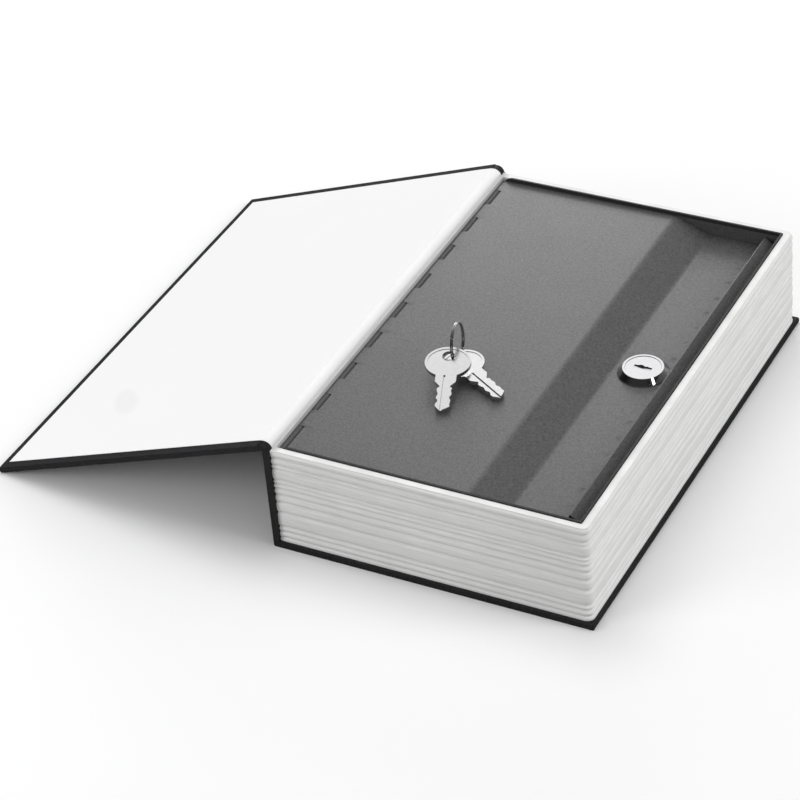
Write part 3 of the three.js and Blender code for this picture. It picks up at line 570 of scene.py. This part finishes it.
@dataclass
class BookCase:
    """The covers, the spine, the cloth joint and the papers.

    The fold's axis lies in the middle of the cover's thickness; the open cover droops until its free edge
    rests on the table.
    """

    length: float = 240.0
    width: float = 154.0
    cover: float = 2.8
    front_longer: float = 2.6
    fold: Pair = field(default_factory=lambda: joint_place("cover_fold")[::2])
    bend: float = 2.4
    bend_steps: int = 20
    joint_rows: int = 24
    joint_soft: float = 0.35
    lining_soft: float = 0.1
    shade_turn: float = 34.0
    shade_fade: float = 10.0
    cloth_edge: float = 0.45
    board_edge: float = 0.1
    paper_edge: float = 0.05
    magnet_edge: float = 0.2
    paper: float = 0.3
    paper_margin: float = 4.2
    paper_lift: float = 0.1
    overlap: float = 0.4
    foot: float = 0.15
    taper: float = 6.0
    thinnest: float = 0.02
    rim_width: float = 0.35
    rim_drop: float = 0.12
    magnet_from_fold: float = 109.9
    magnet_y: float = -72.2
    magnet_radius: float = 6.4
    dent: float = 0.03
    dent_soft: float = 0.5
    smudge_radius: float = 5.7
    smudge_soft: float = 0.5
    fine_reach: float = 18.0
    fine_points: int = 61
    taper_points: int = 9
    plain_points: int = 34
    side_points: int = 56

    @property
    def reach(self) -> float:
        """From the fold's axis to the cover's free edge."""
        return self.width / 2 - self.fold[0] + self.front_longer

    @property
    def droop(self) -> float:
        """Angle of the open cover below level."""
        half = self.cover / 2
        return math.asin(self.fold[1] / math.hypot(self.reach, half)) - math.atan2(half, self.reach)

    @property
    def tangent(self) -> float:
        """From the fold's axis to where the bend starts on either side."""
        return self.bend * math.tan((math.pi / 2 + self.droop) / 2)

    @property
    def turns(self) -> np.ndarray:
        """How far the bend has turned from the spine at each of its steps, in radians."""
        return np.linspace(0, math.pi / 2 + self.droop, self.bend_steps + 1)

    @property
    def paper_side(self) -> float:
        """Half the length of the papers inside the front cover."""
        return self.length / 2 - self.paper_margin

    def on_cover(self, along: np.ndarray, y: np.ndarray, up: np.ndarray) -> np.ndarray:
        """Points on the open cover: along runs from the fold to the free edge, up from its middle plane.

        Args:
            along: distances from the fold's axis.
            y: places along the spine.
            up: heights over the middle plane, positive on the paper side.

        Returns:
            Array of points in the frame.
        """
        cos, sin = math.cos(self.droop), math.sin(self.droop)
        x = self.fold[0] - along * cos - up * sin
        z = self.fold[1] - along * sin + up * cos
        return np.stack(np.broadcast_arrays(x, y, z), axis=-1)

    def build(self) -> None:
        """Builds and dresses the whole case."""
        for node in ("case_cloth", "front_cloth"):
            softened(node, LEATHERETTE, self.cloth_edge)
        for node in ("back_board", "spine_board", "front_board"):
            softened(node, BOARD, self.board_edge)
        for node in ("back_endpaper", "spine_lining"):
            softened(node, PAPER, self.paper_edge)
        softened("cover_magnet", MAGNET, self.magnet_edge)
        self._endpaper()
        inner = self.bend - self.cover / 2
        outer = self.bend + self.cover / 2
        seam = outer - self.paper
        self._bent("joint_band", JOINT_CLOTH, "cover_joint", (inner, seam), self.length / 2, self.joint_soft)
        self._bent("joint_paper", LINING, "joint_lining", (seam, outer), self.paper_side, self.lining_soft)

    def _endpaper(self) -> None:
        """The white sheet inside the front cover: its upper side, a skirt round it and its underside.

        Where the sheet runs under the lining, its foot is sunk into the cover.
        """
        side = self.paper_side
        start = self.tangent - self.overlap
        end = self.reach - self.paper_margin
        near = np.linspace(-self.fine_reach, self.fine_reach, self.fine_points)
        taper = np.linspace(start, start + self.taper, self.taper_points)
        plain = np.linspace(start + self.taper, end, self.plain_points)
        along = np.unique(np.concatenate([taper, plain, self.magnet_from_fold + near]))
        ys = np.unique(np.concatenate([np.linspace(-side, side, self.side_points), self.magnet_y + near]))
        u, y = np.meshgrid(along, ys, indexing="ij")
        under = self.cover / 2 + self.paper_lift
        upper = self.on_cover(u, y, under + self._thickness(u, y, start, end))
        sheet = lofted(upper, capped=False, marks=self._smudge(u, y), outline_closed=False)
        foot = np.where(border(u) < self.tangent + self.overlap, under - self.foot, under)
        lower = self.on_cover(border(u), border(y), foot)
        skirt = lofted(np.stack([lower, border(upper)]), capped=False)
        underside = Surface(lower, [tuple(range(len(lower)))])
        whole = placed("endpaper_sheet", sheet.plus(skirt).plus(underside), sharp_above=50)
        dressed(whole, PAPER, "cover")
        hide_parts("front_endpaper")

    def _thickness(self, u: np.ndarray, y: np.ndarray, start: float, end: float) -> np.ndarray:
        """The endpaper's thickness: it grows from the fold as s * s * (3 - 2 * s), with s from 0 to 1 over
        the taper, falls off at the other edges and has a bell shaped dent round the disc's edge.

        Args:
            u: distances from the fold.
            y: places along the spine.
            start: where the sheet starts.
            end: where it ends.

        Returns:
            The thickness at each point.
        """
        share = np.clip((u - start) / self.taper, 0, 1)
        thick = self.thinnest + (self.paper - self.thinnest) * share * share * (3 - 2 * share)
        edge = np.minimum.reduce([end - u, y + self.paper_side, self.paper_side - y])
        rim = self.rim_drop * share * np.clip(1 - edge / self.rim_width, 0, 1) ** 2
        away = np.hypot(u - self.magnet_from_fold, y - self.magnet_y)
        across = (away - self.magnet_radius) ** 2 / (2 * self.dent_soft**2)
        return thick - rim - self.dent * np.exp(-across)

    def _smudge(self, u: np.ndarray, y: np.ndarray) -> np.ndarray:
        """The faint mark over the disc, longer along one diagonal: 1 / (1 + exp((d - radius) / soft)), where
        d is the length of (0.81 * a - 0.45 * b, 0.07 * a - 0.56 * b), with a and b from the disc's middle.

        Args:
            u: distances from the fold.
            y: places along the spine.

        Returns:
            The mark at each point, 0 to 1.
        """
        a, b = u - self.magnet_from_fold, y - self.magnet_y
        away = np.hypot(0.81 * a - 0.45 * b, 0.07 * a - 0.56 * b)
        return 1 / (1 + np.exp((away - self.smudge_radius) / self.smudge_soft))

    def _bent(self, name: str, look: Finish, node: str, radii: Pair, side: float, soft: float) -> None:
        """A layer that bends between spine and cover, marked with painted shade where it has turned less
        than shade_turn. Its section is an arc at the outer radius and one back at the inner.

        Args:
            name: name of the piece.
            look: its finish.
            node: the CAD node that it replaces.
            radii: its inner and outer radius.
            side: half its length.
            soft: how much its ends are softened.
        """
        low, high = radii
        places = np.concatenate([[-side], np.linspace(-side + soft, side - soft, self.joint_rows), [side]])
        insets = [soft] + [0.0] * self.joint_rows + [soft]
        arc = np.stack([np.cos(self.turns), np.sin(self.turns)], axis=1)
        arcs = [np.vstack([(high - inset) * arc, (low + inset) * arc[::-1]]) for inset in insets]
        centre = np.array([self.fold[0] - self.bend, self.fold[1] - self.tangent])
        rings = carried(centre + np.array(arcs), places)
        # Painted shade: the bend greys where it has turned least, fading out over a few degrees of turn.
        bend_painted_shade = np.clip((self.shade_turn - np.degrees(self.turns)) / self.shade_fade, 0, 1)
        marks = np.tile(np.concatenate([bend_painted_shade, bend_painted_shade[::-1]]), (len(places), 1))
        piece = dressed(placed(name, lofted(rings, marks=marks), sharp_above=60), look)
        end = tuple(c * MM for c in self.on_cover(np.float64(self.tangent), np.float64(0), np.float64(0)))
        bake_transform(piece)
        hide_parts(node)


@dataclass
class PageBlock:
    """The ribbed rim that looks like the edges of the pages."""

    x0: float = -74.2
    x1: float = 75.4
    side: float = 118.4
    bottom: float = 2.8
    bands: tuple[float, ...] = (1.9, 3.45, 2.85, 8.0, 5.55, 4.15, 3.4, 2.7, 2.0, 6.15, 1.95, 3.7, 3.6)
    rows_per_band: int = 15
    groove: float = 0.75
    groove_painted_shade: float = 0.29
    flank: float = 1.45
    wave: float = 0.035
    calm: float = 3.0
    spine_corner: float = 0.05
    corner: float = 3.5
    inner_corner: float = 0.6
    rim: Triple = (1.2, 4.3, 3.8)
    rim_settle: float = 0.15
    rim_round: float = 0.3
    spine_strip: float = 0.2
    side_points: int = 44
    corner_points: int = 10
    cam_y: float = 2.0
    cam_half: float = 9.0
    cam_room: float = 2.4
    cam_depth: float = 6.0

    @property
    def top(self) -> float:
        """Height of the rim."""
        return self.bottom + sum(self.bands)

    def _profile(self) -> tuple[np.ndarray, np.ndarray]:
        """The outside's section. At a distance d from each boundary between bands the inset is
        groove * (1 + cos(pi * d / w)) / 2 within the flank's width w, and 0 further away. The foot has none.

        Returns:
            Heights, and the inset at each.
        """
        heights, insets = [], []
        z = self.bottom
        for band in self.bands:
            share = (1 - np.cos(np.linspace(0, np.pi, self.rows_per_band))) / 2
            from_foot = band * share if heights else band
            away = np.minimum(from_foot, band * (1 - share)) / min(self.flank, band / 2)
            heights.append(z + band * share)
            insets.append(self.groove * (1 + np.cos(np.pi * np.clip(away, 0, 1))) / 2)
            z += band
        return np.concatenate(heights), np.concatenate(insets)

    def _outlines(self) -> tuple[np.ndarray, np.ndarray]:
        """Returns the outline of the block and that of its opening, with as many points."""
        spine, fore, end = self.rim
        outer_radii = (self.spine_corner, self.corner, self.corner, self.spine_corner)
        points = (self.side_points, self.corner_points)
        outer = rounded_rectangle((self.x0, -self.side), (self.x1, self.side), outer_radii, *points)
        low = (self.x0 + spine, end - self.side)
        high = (self.x1 - fore, self.side - end)
        return outer, rounded_rectangle(low, high, (self.inner_corner,) * 4, *points)

    def _outside(self, outer: np.ndarray, by_spine: np.ndarray) -> tuple[np.ndarray, np.ndarray]:
        """The outside with its grooves, which rise and fall as wave * sin(0.21 * x + 0.13 * y), less toward
        the foot and the rim. The upper half of the last band is plain beside the spine.

        Args:
            outer: the block's outline.
            by_spine: which of its points lie at the spine.

        Returns:
            Outlines from the foot to the rim, and their marks, painted shade that is strongest in the
            grooves.
        """
        heights, insets = self._profile()
        plain = (heights[:, None] > heights[-1] - self.bands[-1] / 2) & by_spine
        inset = np.where(plain, 0.0, insets[:, None])
        to_end = np.minimum(heights - self.bottom, heights[-1] - heights)
        lift = self.wave * np.sin(outer[:, 0] * 0.21 + outer[:, 1] * 0.13)
        z = heights[:, None] + lift * np.minimum(1.0, to_end / self.calm)[:, None]
        rings = np.dstack([outer + self._inward(outer) * inset[..., None], z])
        # Painted shade: the marks darken the grooves, where shade falls.
        marks = self.groove_painted_shade * (insets / self.groove) ** 3
        return rings, np.tile(marks[:, None], (1, len(outer)))

    def _inside(self, outer: np.ndarray, inner: np.ndarray) -> np.ndarray:
        """The rim's top and the opening's wall, with a hollow in the wall for the lock's cam.

        Args:
            outer: the block's outline.
            inner: the opening's outline.

        Returns:
            Outlines from the rim's outer edge over the top and down to the foot.
        """
        across = inner - outer
        share = np.array([0.25, 0.5, 0.75])[:, None, None]
        over = outer + across * share
        toward = across / np.linalg.norm(across, axis=1, keepdims=True)
        by_cam = (inner[:, 0] > 0) & (np.abs(inner[:, 1] - self.cam_y) < self.cam_half)
        hollow = np.stack([by_cam * self.cam_room, np.zeros(len(inner))], axis=1)
        down = np.stack([inner - toward * self.rim_settle, inner, inner + hollow, inner + hollow])
        levels = self.top - np.array([0, 0, 0, 0, self.rim_round, self.cam_depth, self.top - self.bottom])
        places = np.vstack([over, down])
        return np.dstack([places, np.tile(levels[:, None], (1, len(outer)))])

    def build(self) -> None:
        """Builds the block as one loft: up the outside, over the rim and down the inside.

        The rim beside the spine is marked with painted shade, which greys it.
        """
        outer, inner = self._outlines()
        by_spine = outer[:, 0] < self.x0 + self.spine_strip
        outside, outside_marks = self._outside(outer, by_spine)
        inside = self._inside(outer, inner)
        # Painted shade on the rim's top and inner wall beside the spine.
        spine_painted_shade = np.tile(by_spine.astype(float), (len(inside), 1))
        marks = np.vstack([outside_marks, spine_painted_shade])
        block = lofted(np.concatenate([outside, inside]), closed=True, marks=marks)
        piece = dressed(placed("page_edges", block, sharp_above=50), PAGES, "book")
        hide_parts("page_block")

    def _inward(self, outline: np.ndarray) -> np.ndarray:
        """Unit normals of the outline that point into the block.

        Args:
            outline: array of shape (n, 2), against the clock.

        Returns:
            Array of shape (n, 2).
        """
        along = np.roll(outline, -1, axis=0) - np.roll(outline, 1, axis=0)
        along /= np.linalg.norm(along, axis=1, keepdims=True)
        return np.stack([-along[:, 1], along[:, 0]], axis=1)


@dataclass
class SteelBox:
    """The dark box in the page block with the hinge's pin."""

    box_edge: float = 0.18
    pin_edge: float = 0.1

    def build(self) -> None:
        """Dresses the box and its pin."""
        softened("steel_box", BOX_PAINT, self.box_edge)
        softened("hinge_pin", PIN_STEEL, self.pin_edge)


@dataclass
class Lid:
    """The bent sheet with its hinge notches and rolled knuckles.

    The corners run from the hinge over the flat, the slope, the recess, the riser and the ridge to the lip.
    """

    sheet: float = 0.9
    side: float = 113.4
    pin: Pair = field(default_factory=lambda: joint_place("lid_hinge")[::2])
    knuckle: float = 1.7
    knuckle_gap: float = 0.05
    knuckle_soft: float = 0.25
    knuckle_sides: int = 32
    corners: tuple[Pair, ...] = (
        (-71.2, 50.9), (17.9, 50.9), (34.9, 44.1), (61.1, 44.1), (62.8, 50.45), (69.4, 46.0),
    )
    bends: tuple[float, ...] = (9.0, 7.0, 1.4, 0.55)
    bend_steps: int = 8
    joint: float = 58.6
    plate_end: float = 61.9
    lip: Pair = (-108.7, 111.7)
    notch: float = 12.5
    notch_end: float = -69.3
    first_notch: float = -101.85
    pitch: float = 25.05
    notches: int = 9
    edge: float = 0.12
    edge_above: float = 55.0
    flat_points: int = 12
    recess_points: int = 5
    plate_rows: int = 60
    ridge_rows: int = 40

    def _notch_ranges(self) -> list[Pair]:
        """Finds the notches; the nearest one runs out to the lid's near edge.

        Returns:
            Near and far end of each.
        """
        middles = self.first_notch + self.pitch * np.arange(self.notches)
        ranges = [(middle - self.notch / 2, middle + self.notch / 2) for middle in middles.tolist()]
        ranges[0] = (-self.side, ranges[0][1])
        return ranges

    def _state(self, y: float) -> tuple[bool, bool]:
        """Returns whether the sheet is notched at a place and whether it runs on past the lip's end."""
        notched = any(near <= y < far for near, far in self._notch_ranges())
        return notched, not self.lip[0] < y < self.lip[1]

    def _stations(self) -> list[tuple[float, bool, bool]]:
        """Places along the lid with their states, and two at one place where a state changes.

        Returns:
            Place, notched and running on, from near to far.
        """
        ends = [round(y, 4) for pair in self._notch_ranges() for y in pair]
        rows = np.linspace(-self.side, self.side, self.plate_rows).tolist()
        places = sorted({*ends, *self.lip, *rows})
        stations = []
        for y in places:
            beside = [y + step for step in (-1e-6, 1e-6) if abs(y + step) < self.side]
            stations += [(y, *state) for state in dict.fromkeys(map(self._state, beside))]
        return stations

    def _plate_line(self, line: np.ndarray) -> np.ndarray:
        """The upper side of the sheet from the hinge to the recess, with more points on its long flats.

        Args:
            line: the whole lid's upper side.

        Returns:
            Array of shape (n, 2).
        """
        recess = self.corners[3][1]
        (hinge, top), (slope, _) = self.corners[:2]
        first = np.linspace(hinge, slope - self.bends[0] + 1, self.flat_points)
        upper = line[line[:, 0] < self.joint]
        last = np.linspace(upper[-1, 0], self.plate_end, self.recess_points)[1:]
        starts = np.stack([first, np.full(len(first), top)], axis=1)
        ends = np.stack([last, np.full(len(last), recess)], axis=1)
        return np.vstack([starts, upper[1:], ends])

    def _plate(self, line: np.ndarray) -> Surface:
        """The sheet from the hinge to the recess: in a notch its outline starts at the notch's end.

        Args:
            line: its upper side.

        Returns:
            The closed surface.
        """
        places, sections = [], []
        for y, notched, runs_on in self._stations():
            upper = line.copy()
            start = self.notch_end if notched else self.pin[0]
            upper[:, 0] = np.clip(upper[:, 0], start, self.plate_end if runs_on else self.joint)
            places.append(y)
            sections.append(self._thickened(upper))
        return lofted(carried(np.array(sections), places))

    def _thickened(self, upper: np.ndarray) -> np.ndarray:
        """The sheet's section: its lower side is straight under the upper, at sheet * sqrt(1 + slope^2).

        Args:
            upper: array of shape (n, 2), its X growing or held.

        Returns:
            Array of shape (2n, 2).
        """
        run, rise = np.gradient(upper[:, 0]), np.gradient(upper[:, 1])
        slope = np.where(run < 1e-5, 0.0, rise / np.maximum(run, 1e-6))
        lower = upper - np.stack([np.zeros(len(upper)), self.sheet * np.sqrt(1 + slope**2)], axis=1)
        return np.vstack([upper, lower[::-1]])

    def _ridge(self, line: np.ndarray) -> Surface:
        """The riser, the ridge and the falling lip: one section carried along Y.

        Args:
            line: the whole lid's upper side.

        Returns:
            The closed surface.
        """
        upper = np.vstack([[[self.joint, self.corners[3][1]]], line[line[:, 0] > self.joint]])
        section = np.vstack([upper, offset_line(upper, self.sheet)[::-1]])
        return lofted(carried(section, np.linspace(*self.lip, self.ridge_rows)))

    def _knuckle(self, near: float, far: float) -> Surface:
        """A rolled knuckle: a round rod on the pin's axis with softened ends.

        Args:
            near: near end.
            far: far end.

        Returns:
            The closed surface.
        """
        soft = self.knuckle_soft
        radii = self.knuckle - np.array([soft, 0, 0, soft])[:, None]
        turn = np.linspace(0, 2 * np.pi, self.knuckle_sides, endpoint=False)
        circles = np.dstack([self.pin[0] + radii * np.cos(turn), self.pin[1] + radii * np.sin(turn)])
        return lofted(carried(circles, [near, near + soft, far - soft, far]))

    def build(self) -> None:
        """Builds the lid as one object of plate, ridge and knuckles."""
        line = rounded_line(list(self.corners), list(self.bends), self.bend_steps)
        whole = self._plate(self._plate_line(line)).plus(self._ridge(line))
        ranges = self._notch_ranges() + [(self.side, self.side)]
        for (_, near), (far, _) in zip(ranges, ranges[1:]):
            whole = whole.plus(self._knuckle(near + self.knuckle_gap, far - self.knuckle_gap))
        piece = placed("lid_sheet", whole, sharp_above=40)
        bevelled(piece, self.edge, self.edge_above)
        dressed(piece, LID_PAINT, "lid")
        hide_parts("lid")


@dataclass
class Lock:
    """The key lock in the recess with what holds it and what it turns."""

    centre: Pair = field(default_factory=lambda: joint_place("plug_turn")[:2])
    keyway: Pair = (4.25, 1.3)
    ward_top: float = 46.95
    ward_foot: float = 45.3
    web: float = 0.08
    housing_edge: float = 0.2
    plug_edge: float = 0.22
    wafer_edge: float = 0.08
    fitting_edge: float = 0.15
    wafers: int = 5

    def _ward(self, side: float) -> Surface:
        """One of the two wards that give the keyway its wave: a plate from the slot's wall to its own edge.

        With u along the slot, the near edge is -0.7 - 0.6 * exp(-((u + 0.2) / 1.8)^2) and the far edge
        0.5 + 0.8 * exp(-((u + 1) / 1.2)^2) + 0.4 * exp(-((u - 1.9) / 0.5)^2). The web is the least width.

        Args:
            side: -1 for the near ward, 1 for the far one.

        Returns:
            Its surface.
        """
        half, wall = self.keyway
        u = np.linspace(-half, half, 60)
        if side < 0:
            reach = 0.7 + 0.6 * np.exp(-(((u + 0.2) / 1.8) ** 2))
        else:
            reach = 0.5 + 0.8 * np.exp(-(((u + 1.0) / 1.2) ** 2)) + 0.4 * np.exp(-(((u - 1.9) / 0.5) ** 2))
        edge = side * np.minimum(reach, wall - self.web)
        along = np.concatenate([u, u[::-1]]) + self.centre[0]
        across = np.concatenate([edge, np.full(len(u), side * wall)]) + self.centre[1]
        levels = (self.ward_foot, self.ward_top)
        return lofted(np.stack([np.column_stack([along, across, np.full(len(along), z)]) for z in levels]))

    def build(self) -> None:
        """Builds the wards and dresses every piece of the lock."""
        wards = self._ward(-1.0).plus(self._ward(1.0))
        dressed(placed("keyway_wards", wards, sharp_above=40), CHROME, "plug")
        softened("lock_housing", CHROME, self.housing_edge, smooth_below=24)
        softened("lock_plug", CHROME, self.plug_edge, smooth_below=24)
        for index in range(1, self.wafers + 1):
            softened(f"wafer_{index}", BRASS, self.wafer_edge)
        for node in ("lock_washer", "lock_nut", "lock_cam", "cam_washer", "cam_screw"):
            softened(node, ZINC, self.fitting_edge)


@dataclass
class Keys:
    """The two keys and the split ring that holds them."""

    ring_centre: Pair = (-27.55, -27.9)
    ring_radius: float = 9.15
    lid_top: float = 50.9
    rest: float = 0.3
    wire: float = 0.35
    wire_sides: int = 14
    end_wire: float = 0.35
    pitch: float = 0.78
    turn: float = 9.9
    lean: float = -4.0
    turns: float = 1.96
    start: float = 250.0
    steps: int = 260
    key_edge: float = 0.14

    def _ring(self) -> Surface:
        """The split ring: a wire along a flat coil, aside = (t - 1/2) * turns * pitch, its section a circle.
        Over the last two steps at each end it thins to the share end_wire, as the root of the distance.

        Returns:
            The closed surface.
        """
        t = np.linspace(0, 1, self.steps)
        angle = math.radians(self.start) + t * self.turns * 2 * np.pi
        aside = (t - 0.5) * self.turns * self.pitch
        spin = np.linspace(0, 2 * np.pi, self.wire_sides, endpoint=False)
        grown = np.clip(np.minimum(t, 1 - t) * self.steps / 2, 0, 1) ** 0.5
        radius = self.wire * (self.end_wire + (1 - self.end_wire) * grown)
        out = self.ring_radius + radius[:, None] * np.cos(spin)
        local = np.zeros((len(t), len(spin), 3))
        local[..., 0] = aside[:, None] + radius[:, None] * np.sin(spin)
        local[..., 1] = out * np.cos(angle)[:, None]
        local[..., 2] = out * np.sin(angle)[:, None]
        lean = math.radians(self.lean)
        turned = Matrix.Rotation(math.radians(self.turn), 3, "Z") @ Matrix.Rotation(lean, 3, "Y")
        height = self.lid_top + self.rest + self.wire + self.ring_radius * math.cos(lean)
        return lofted(local @ np.array(turned).T + np.array([*self.ring_centre, height]))

    def build(self) -> None:
        """Builds the ring and dresses both keys."""
        ring = dressed(placed("split_ring", self._ring(), sharp_above=60), RING_STEEL, "ring")
        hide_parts("key_ring")
        for node in ("key_front", "key_back"):
            softened(node, KEY_NICKEL, self.key_edge)


# Studio


@dataclass(frozen=True)
class Lamp:
    """A soft square lamp that faces the book.

    Args:
        name: name of the lamp.
        place: where it stands, in metres.
        size: its side, in metres.
        power: in watts.
        mirrored: shiny surfaces show it.
    """

    name: str
    place: Triple
    size: float
    power: float
    mirrored: bool = False

    def build(self) -> None:
        """Hangs the lamp."""
        data = bpy.data.lights.new(self.name, "AREA")
        data.size = self.size
        data.energy = self.power
        lamp = bpy.data.objects.new(self.name, data)
        lamp.visible_glossy = self.mirrored
        lamp.location = self.place
        lamp.rotation_euler = (-Vector(self.place)).to_track_quat("-Z", "Y").to_euler()
        bpy.context.scene.collection.objects.link(lamp)


@dataclass
class Studio:
    """Floor, lamps, background and the camera at the photo's angle."""

    place: Triple = (505.23, -1005.81, 853.08)
    azimuth: float = 30.005
    elevation: float = 36.396
    roll: float = -5.396
    focal_pixels: float = 3081.97
    frame_pixels: float = 800.0
    sensor: float = 36.0
    floor_half: float = 4000.0
    floor_colour: float = 0.96
    floor_bounce: float = 0.42
    sky: float = 0.44
    glow: float = 0.42
    glow_left: Pair = (-0.85, -0.5)
    glow_right: Pair = (0.44, 0.62)
    glow_front: Pair = (-0.35, 0.55)
    dim: float = 0.1
    dark: float = 0.08
    card: float = 0.85
    card_x: float = -0.33
    card_width: float = 0.13
    card_front: Pair = (0.2, 0.4)
    lamps: tuple[Lamp, ...] = (
        Lamp("right", (1.5, 0.2, 0.8), 0.9, 11.0),
        Lamp("top", (-0.6, 0.4, 1.6), 1.1, 10.7),
        Lamp("front", (-0.65, -0.8, 0.42), 0.5, 3.0),
        Lamp("window", (-0.37, 0.76, 0.32), 0.3, 1.05, mirrored=True),
        Lamp("streak", (0.88, -0.262, 0.882), 0.18, 0.4, mirrored=True),
    )

    def build(self) -> None:
        """Sets up the whole studio."""
        self._floor()
        self._background()
        for lamp in self.lamps:
            lamp.build()
        self._camera()
        bpy.context.scene.view_settings.view_transform = "Standard"

    def _floor(self) -> None:
        """A wide pale floor under the book, which throws less light back than the camera sees."""
        corners = np.array([[-1, -1, 0], [1, -1, 0], [1, 1, 0], [-1, 1, 0]]) * self.floor_half
        floor = placed("floor", Surface(corners, [(0, 1, 2, 3)]))
        material = bpy.data.materials.new("floor")
        material.use_nodes = True
        graph = Graph(material.node_tree)
        shader = graph.nodes["Principled BSDF"]
        seen = graph.add("LightPath").outputs["Is Camera Ray"]
        tone = graph.remap(seen, (0.0, 1.0), (self.floor_bounce, self.floor_colour))
        grey = graph.add("CombineColor", dict.fromkeys(("Red", "Green", "Blue"), tone))
        graph.join(shader.inputs["Base Color"], grey.outputs["Color"])
        graph.join(shader.inputs["Roughness"], 1.0)
        graph.join(shader.inputs["Specular IOR Level"], 0.0)
        floor.data.materials.append(material)

    def _glow(self, graph: Graph) -> bpy.types.NodeSocket:
        """What shiny surfaces mirror: a dim glow behind the book with an upright pale card in it, as
        exp(-((x - card_x) / card_width)^2), and dark in front and at both sides.

        Args:
            graph: the background's nodes.

        Returns:
            The output that gives its strength.
        """
        toward = graph.add("SeparateXYZ", {"Vector": graph.add("TexCoord").outputs["Generated"]})
        x, y = toward.outputs["X"], toward.outputs["Y"]
        left = graph.remap(x, self.glow_left, (self.dim, 1.0))
        aside = graph.math("MULTIPLY", left, graph.remap(x, self.glow_right, (1.0, self.dark)))
        behind = graph.remap(y, self.glow_front, (self.dark, 1.0))
        off = graph.math("DIVIDE", graph.math("SUBTRACT", x, self.card_x), self.card_width)
        card = graph.math("EXPONENT", graph.math("MULTIPLY", graph.math("MULTIPLY", off, off), -1.0))
        back = graph.remap(y, self.card_front, (0.0, self.card))
        wide = graph.math("MULTIPLY", graph.math("MULTIPLY", aside, behind), self.glow)
        return graph.math("MULTIPLY_ADD", card, back, wide)

    def _background(self) -> None:
        """White for the camera, a glow for shiny surfaces and even soft light for the rest."""
        world = bpy.data.worlds.new("studio")
        bpy.context.scene.world = world
        world.use_nodes = True
        graph = Graph(world.node_tree)
        graph.nodes.clear()
        path = graph.add("LightPath")
        strength = self.sky
        for ray, value in (("Is Glossy Ray", self._glow(graph)), ("Is Camera Ray", 1.0)):
            mix = graph.add("Mix", {"Factor": path.outputs[ray], "A": strength, "B": value})
            strength = mix.outputs["Result"]
        light = graph.add("Background", {"Color": (1.0, 1.0, 1.0, 1.0), "Strength": strength})
        graph.join(graph.add("OutputWorld").inputs["Surface"], light.outputs["Background"])

    def _camera(self) -> None:
        """The camera, turned by azimuth, elevation and roll."""
        azimuth, elevation, roll = (math.radians(a) for a in (self.azimuth, self.elevation, self.roll))
        level = Vector((-math.sin(azimuth), math.cos(azimuth), 0.0))
        look = level * math.cos(elevation) - Vector((0, 0, math.sin(elevation)))
        right = look.cross(Vector((0, 0, 1))).normalized()
        up = right.cross(look)
        x = right * math.cos(roll) + up * math.sin(roll)
        y = up * math.cos(roll) - right * math.sin(roll)
        data = bpy.data.cameras.new("photo")
        data.sensor_width = self.sensor
        data.lens = self.focal_pixels / self.frame_pixels * self.sensor
        data.clip_start = 0.01
        camera = bpy.data.objects.new("photo", data)
        turned = Matrix((x, y, -look)).transposed().to_4x4()
        camera.matrix_world = Matrix.Translation(Vector(self.place) * MM) @ turned
        bpy.context.scene.collection.objects.link(camera)
        bpy.context.scene.camera = camera


def main() -> None:
    """Builds and dresses the safe piece by piece, then the studio."""
    logging.basicConfig(level=logging.INFO, format="%(name)s: %(message)s")
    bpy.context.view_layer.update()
    for part in (BookCase(), PageBlock(), SteelBox(), Lid(), Lock(), Keys(), Studio()):
        part.build()


if __name__ == "__main__":
    main()
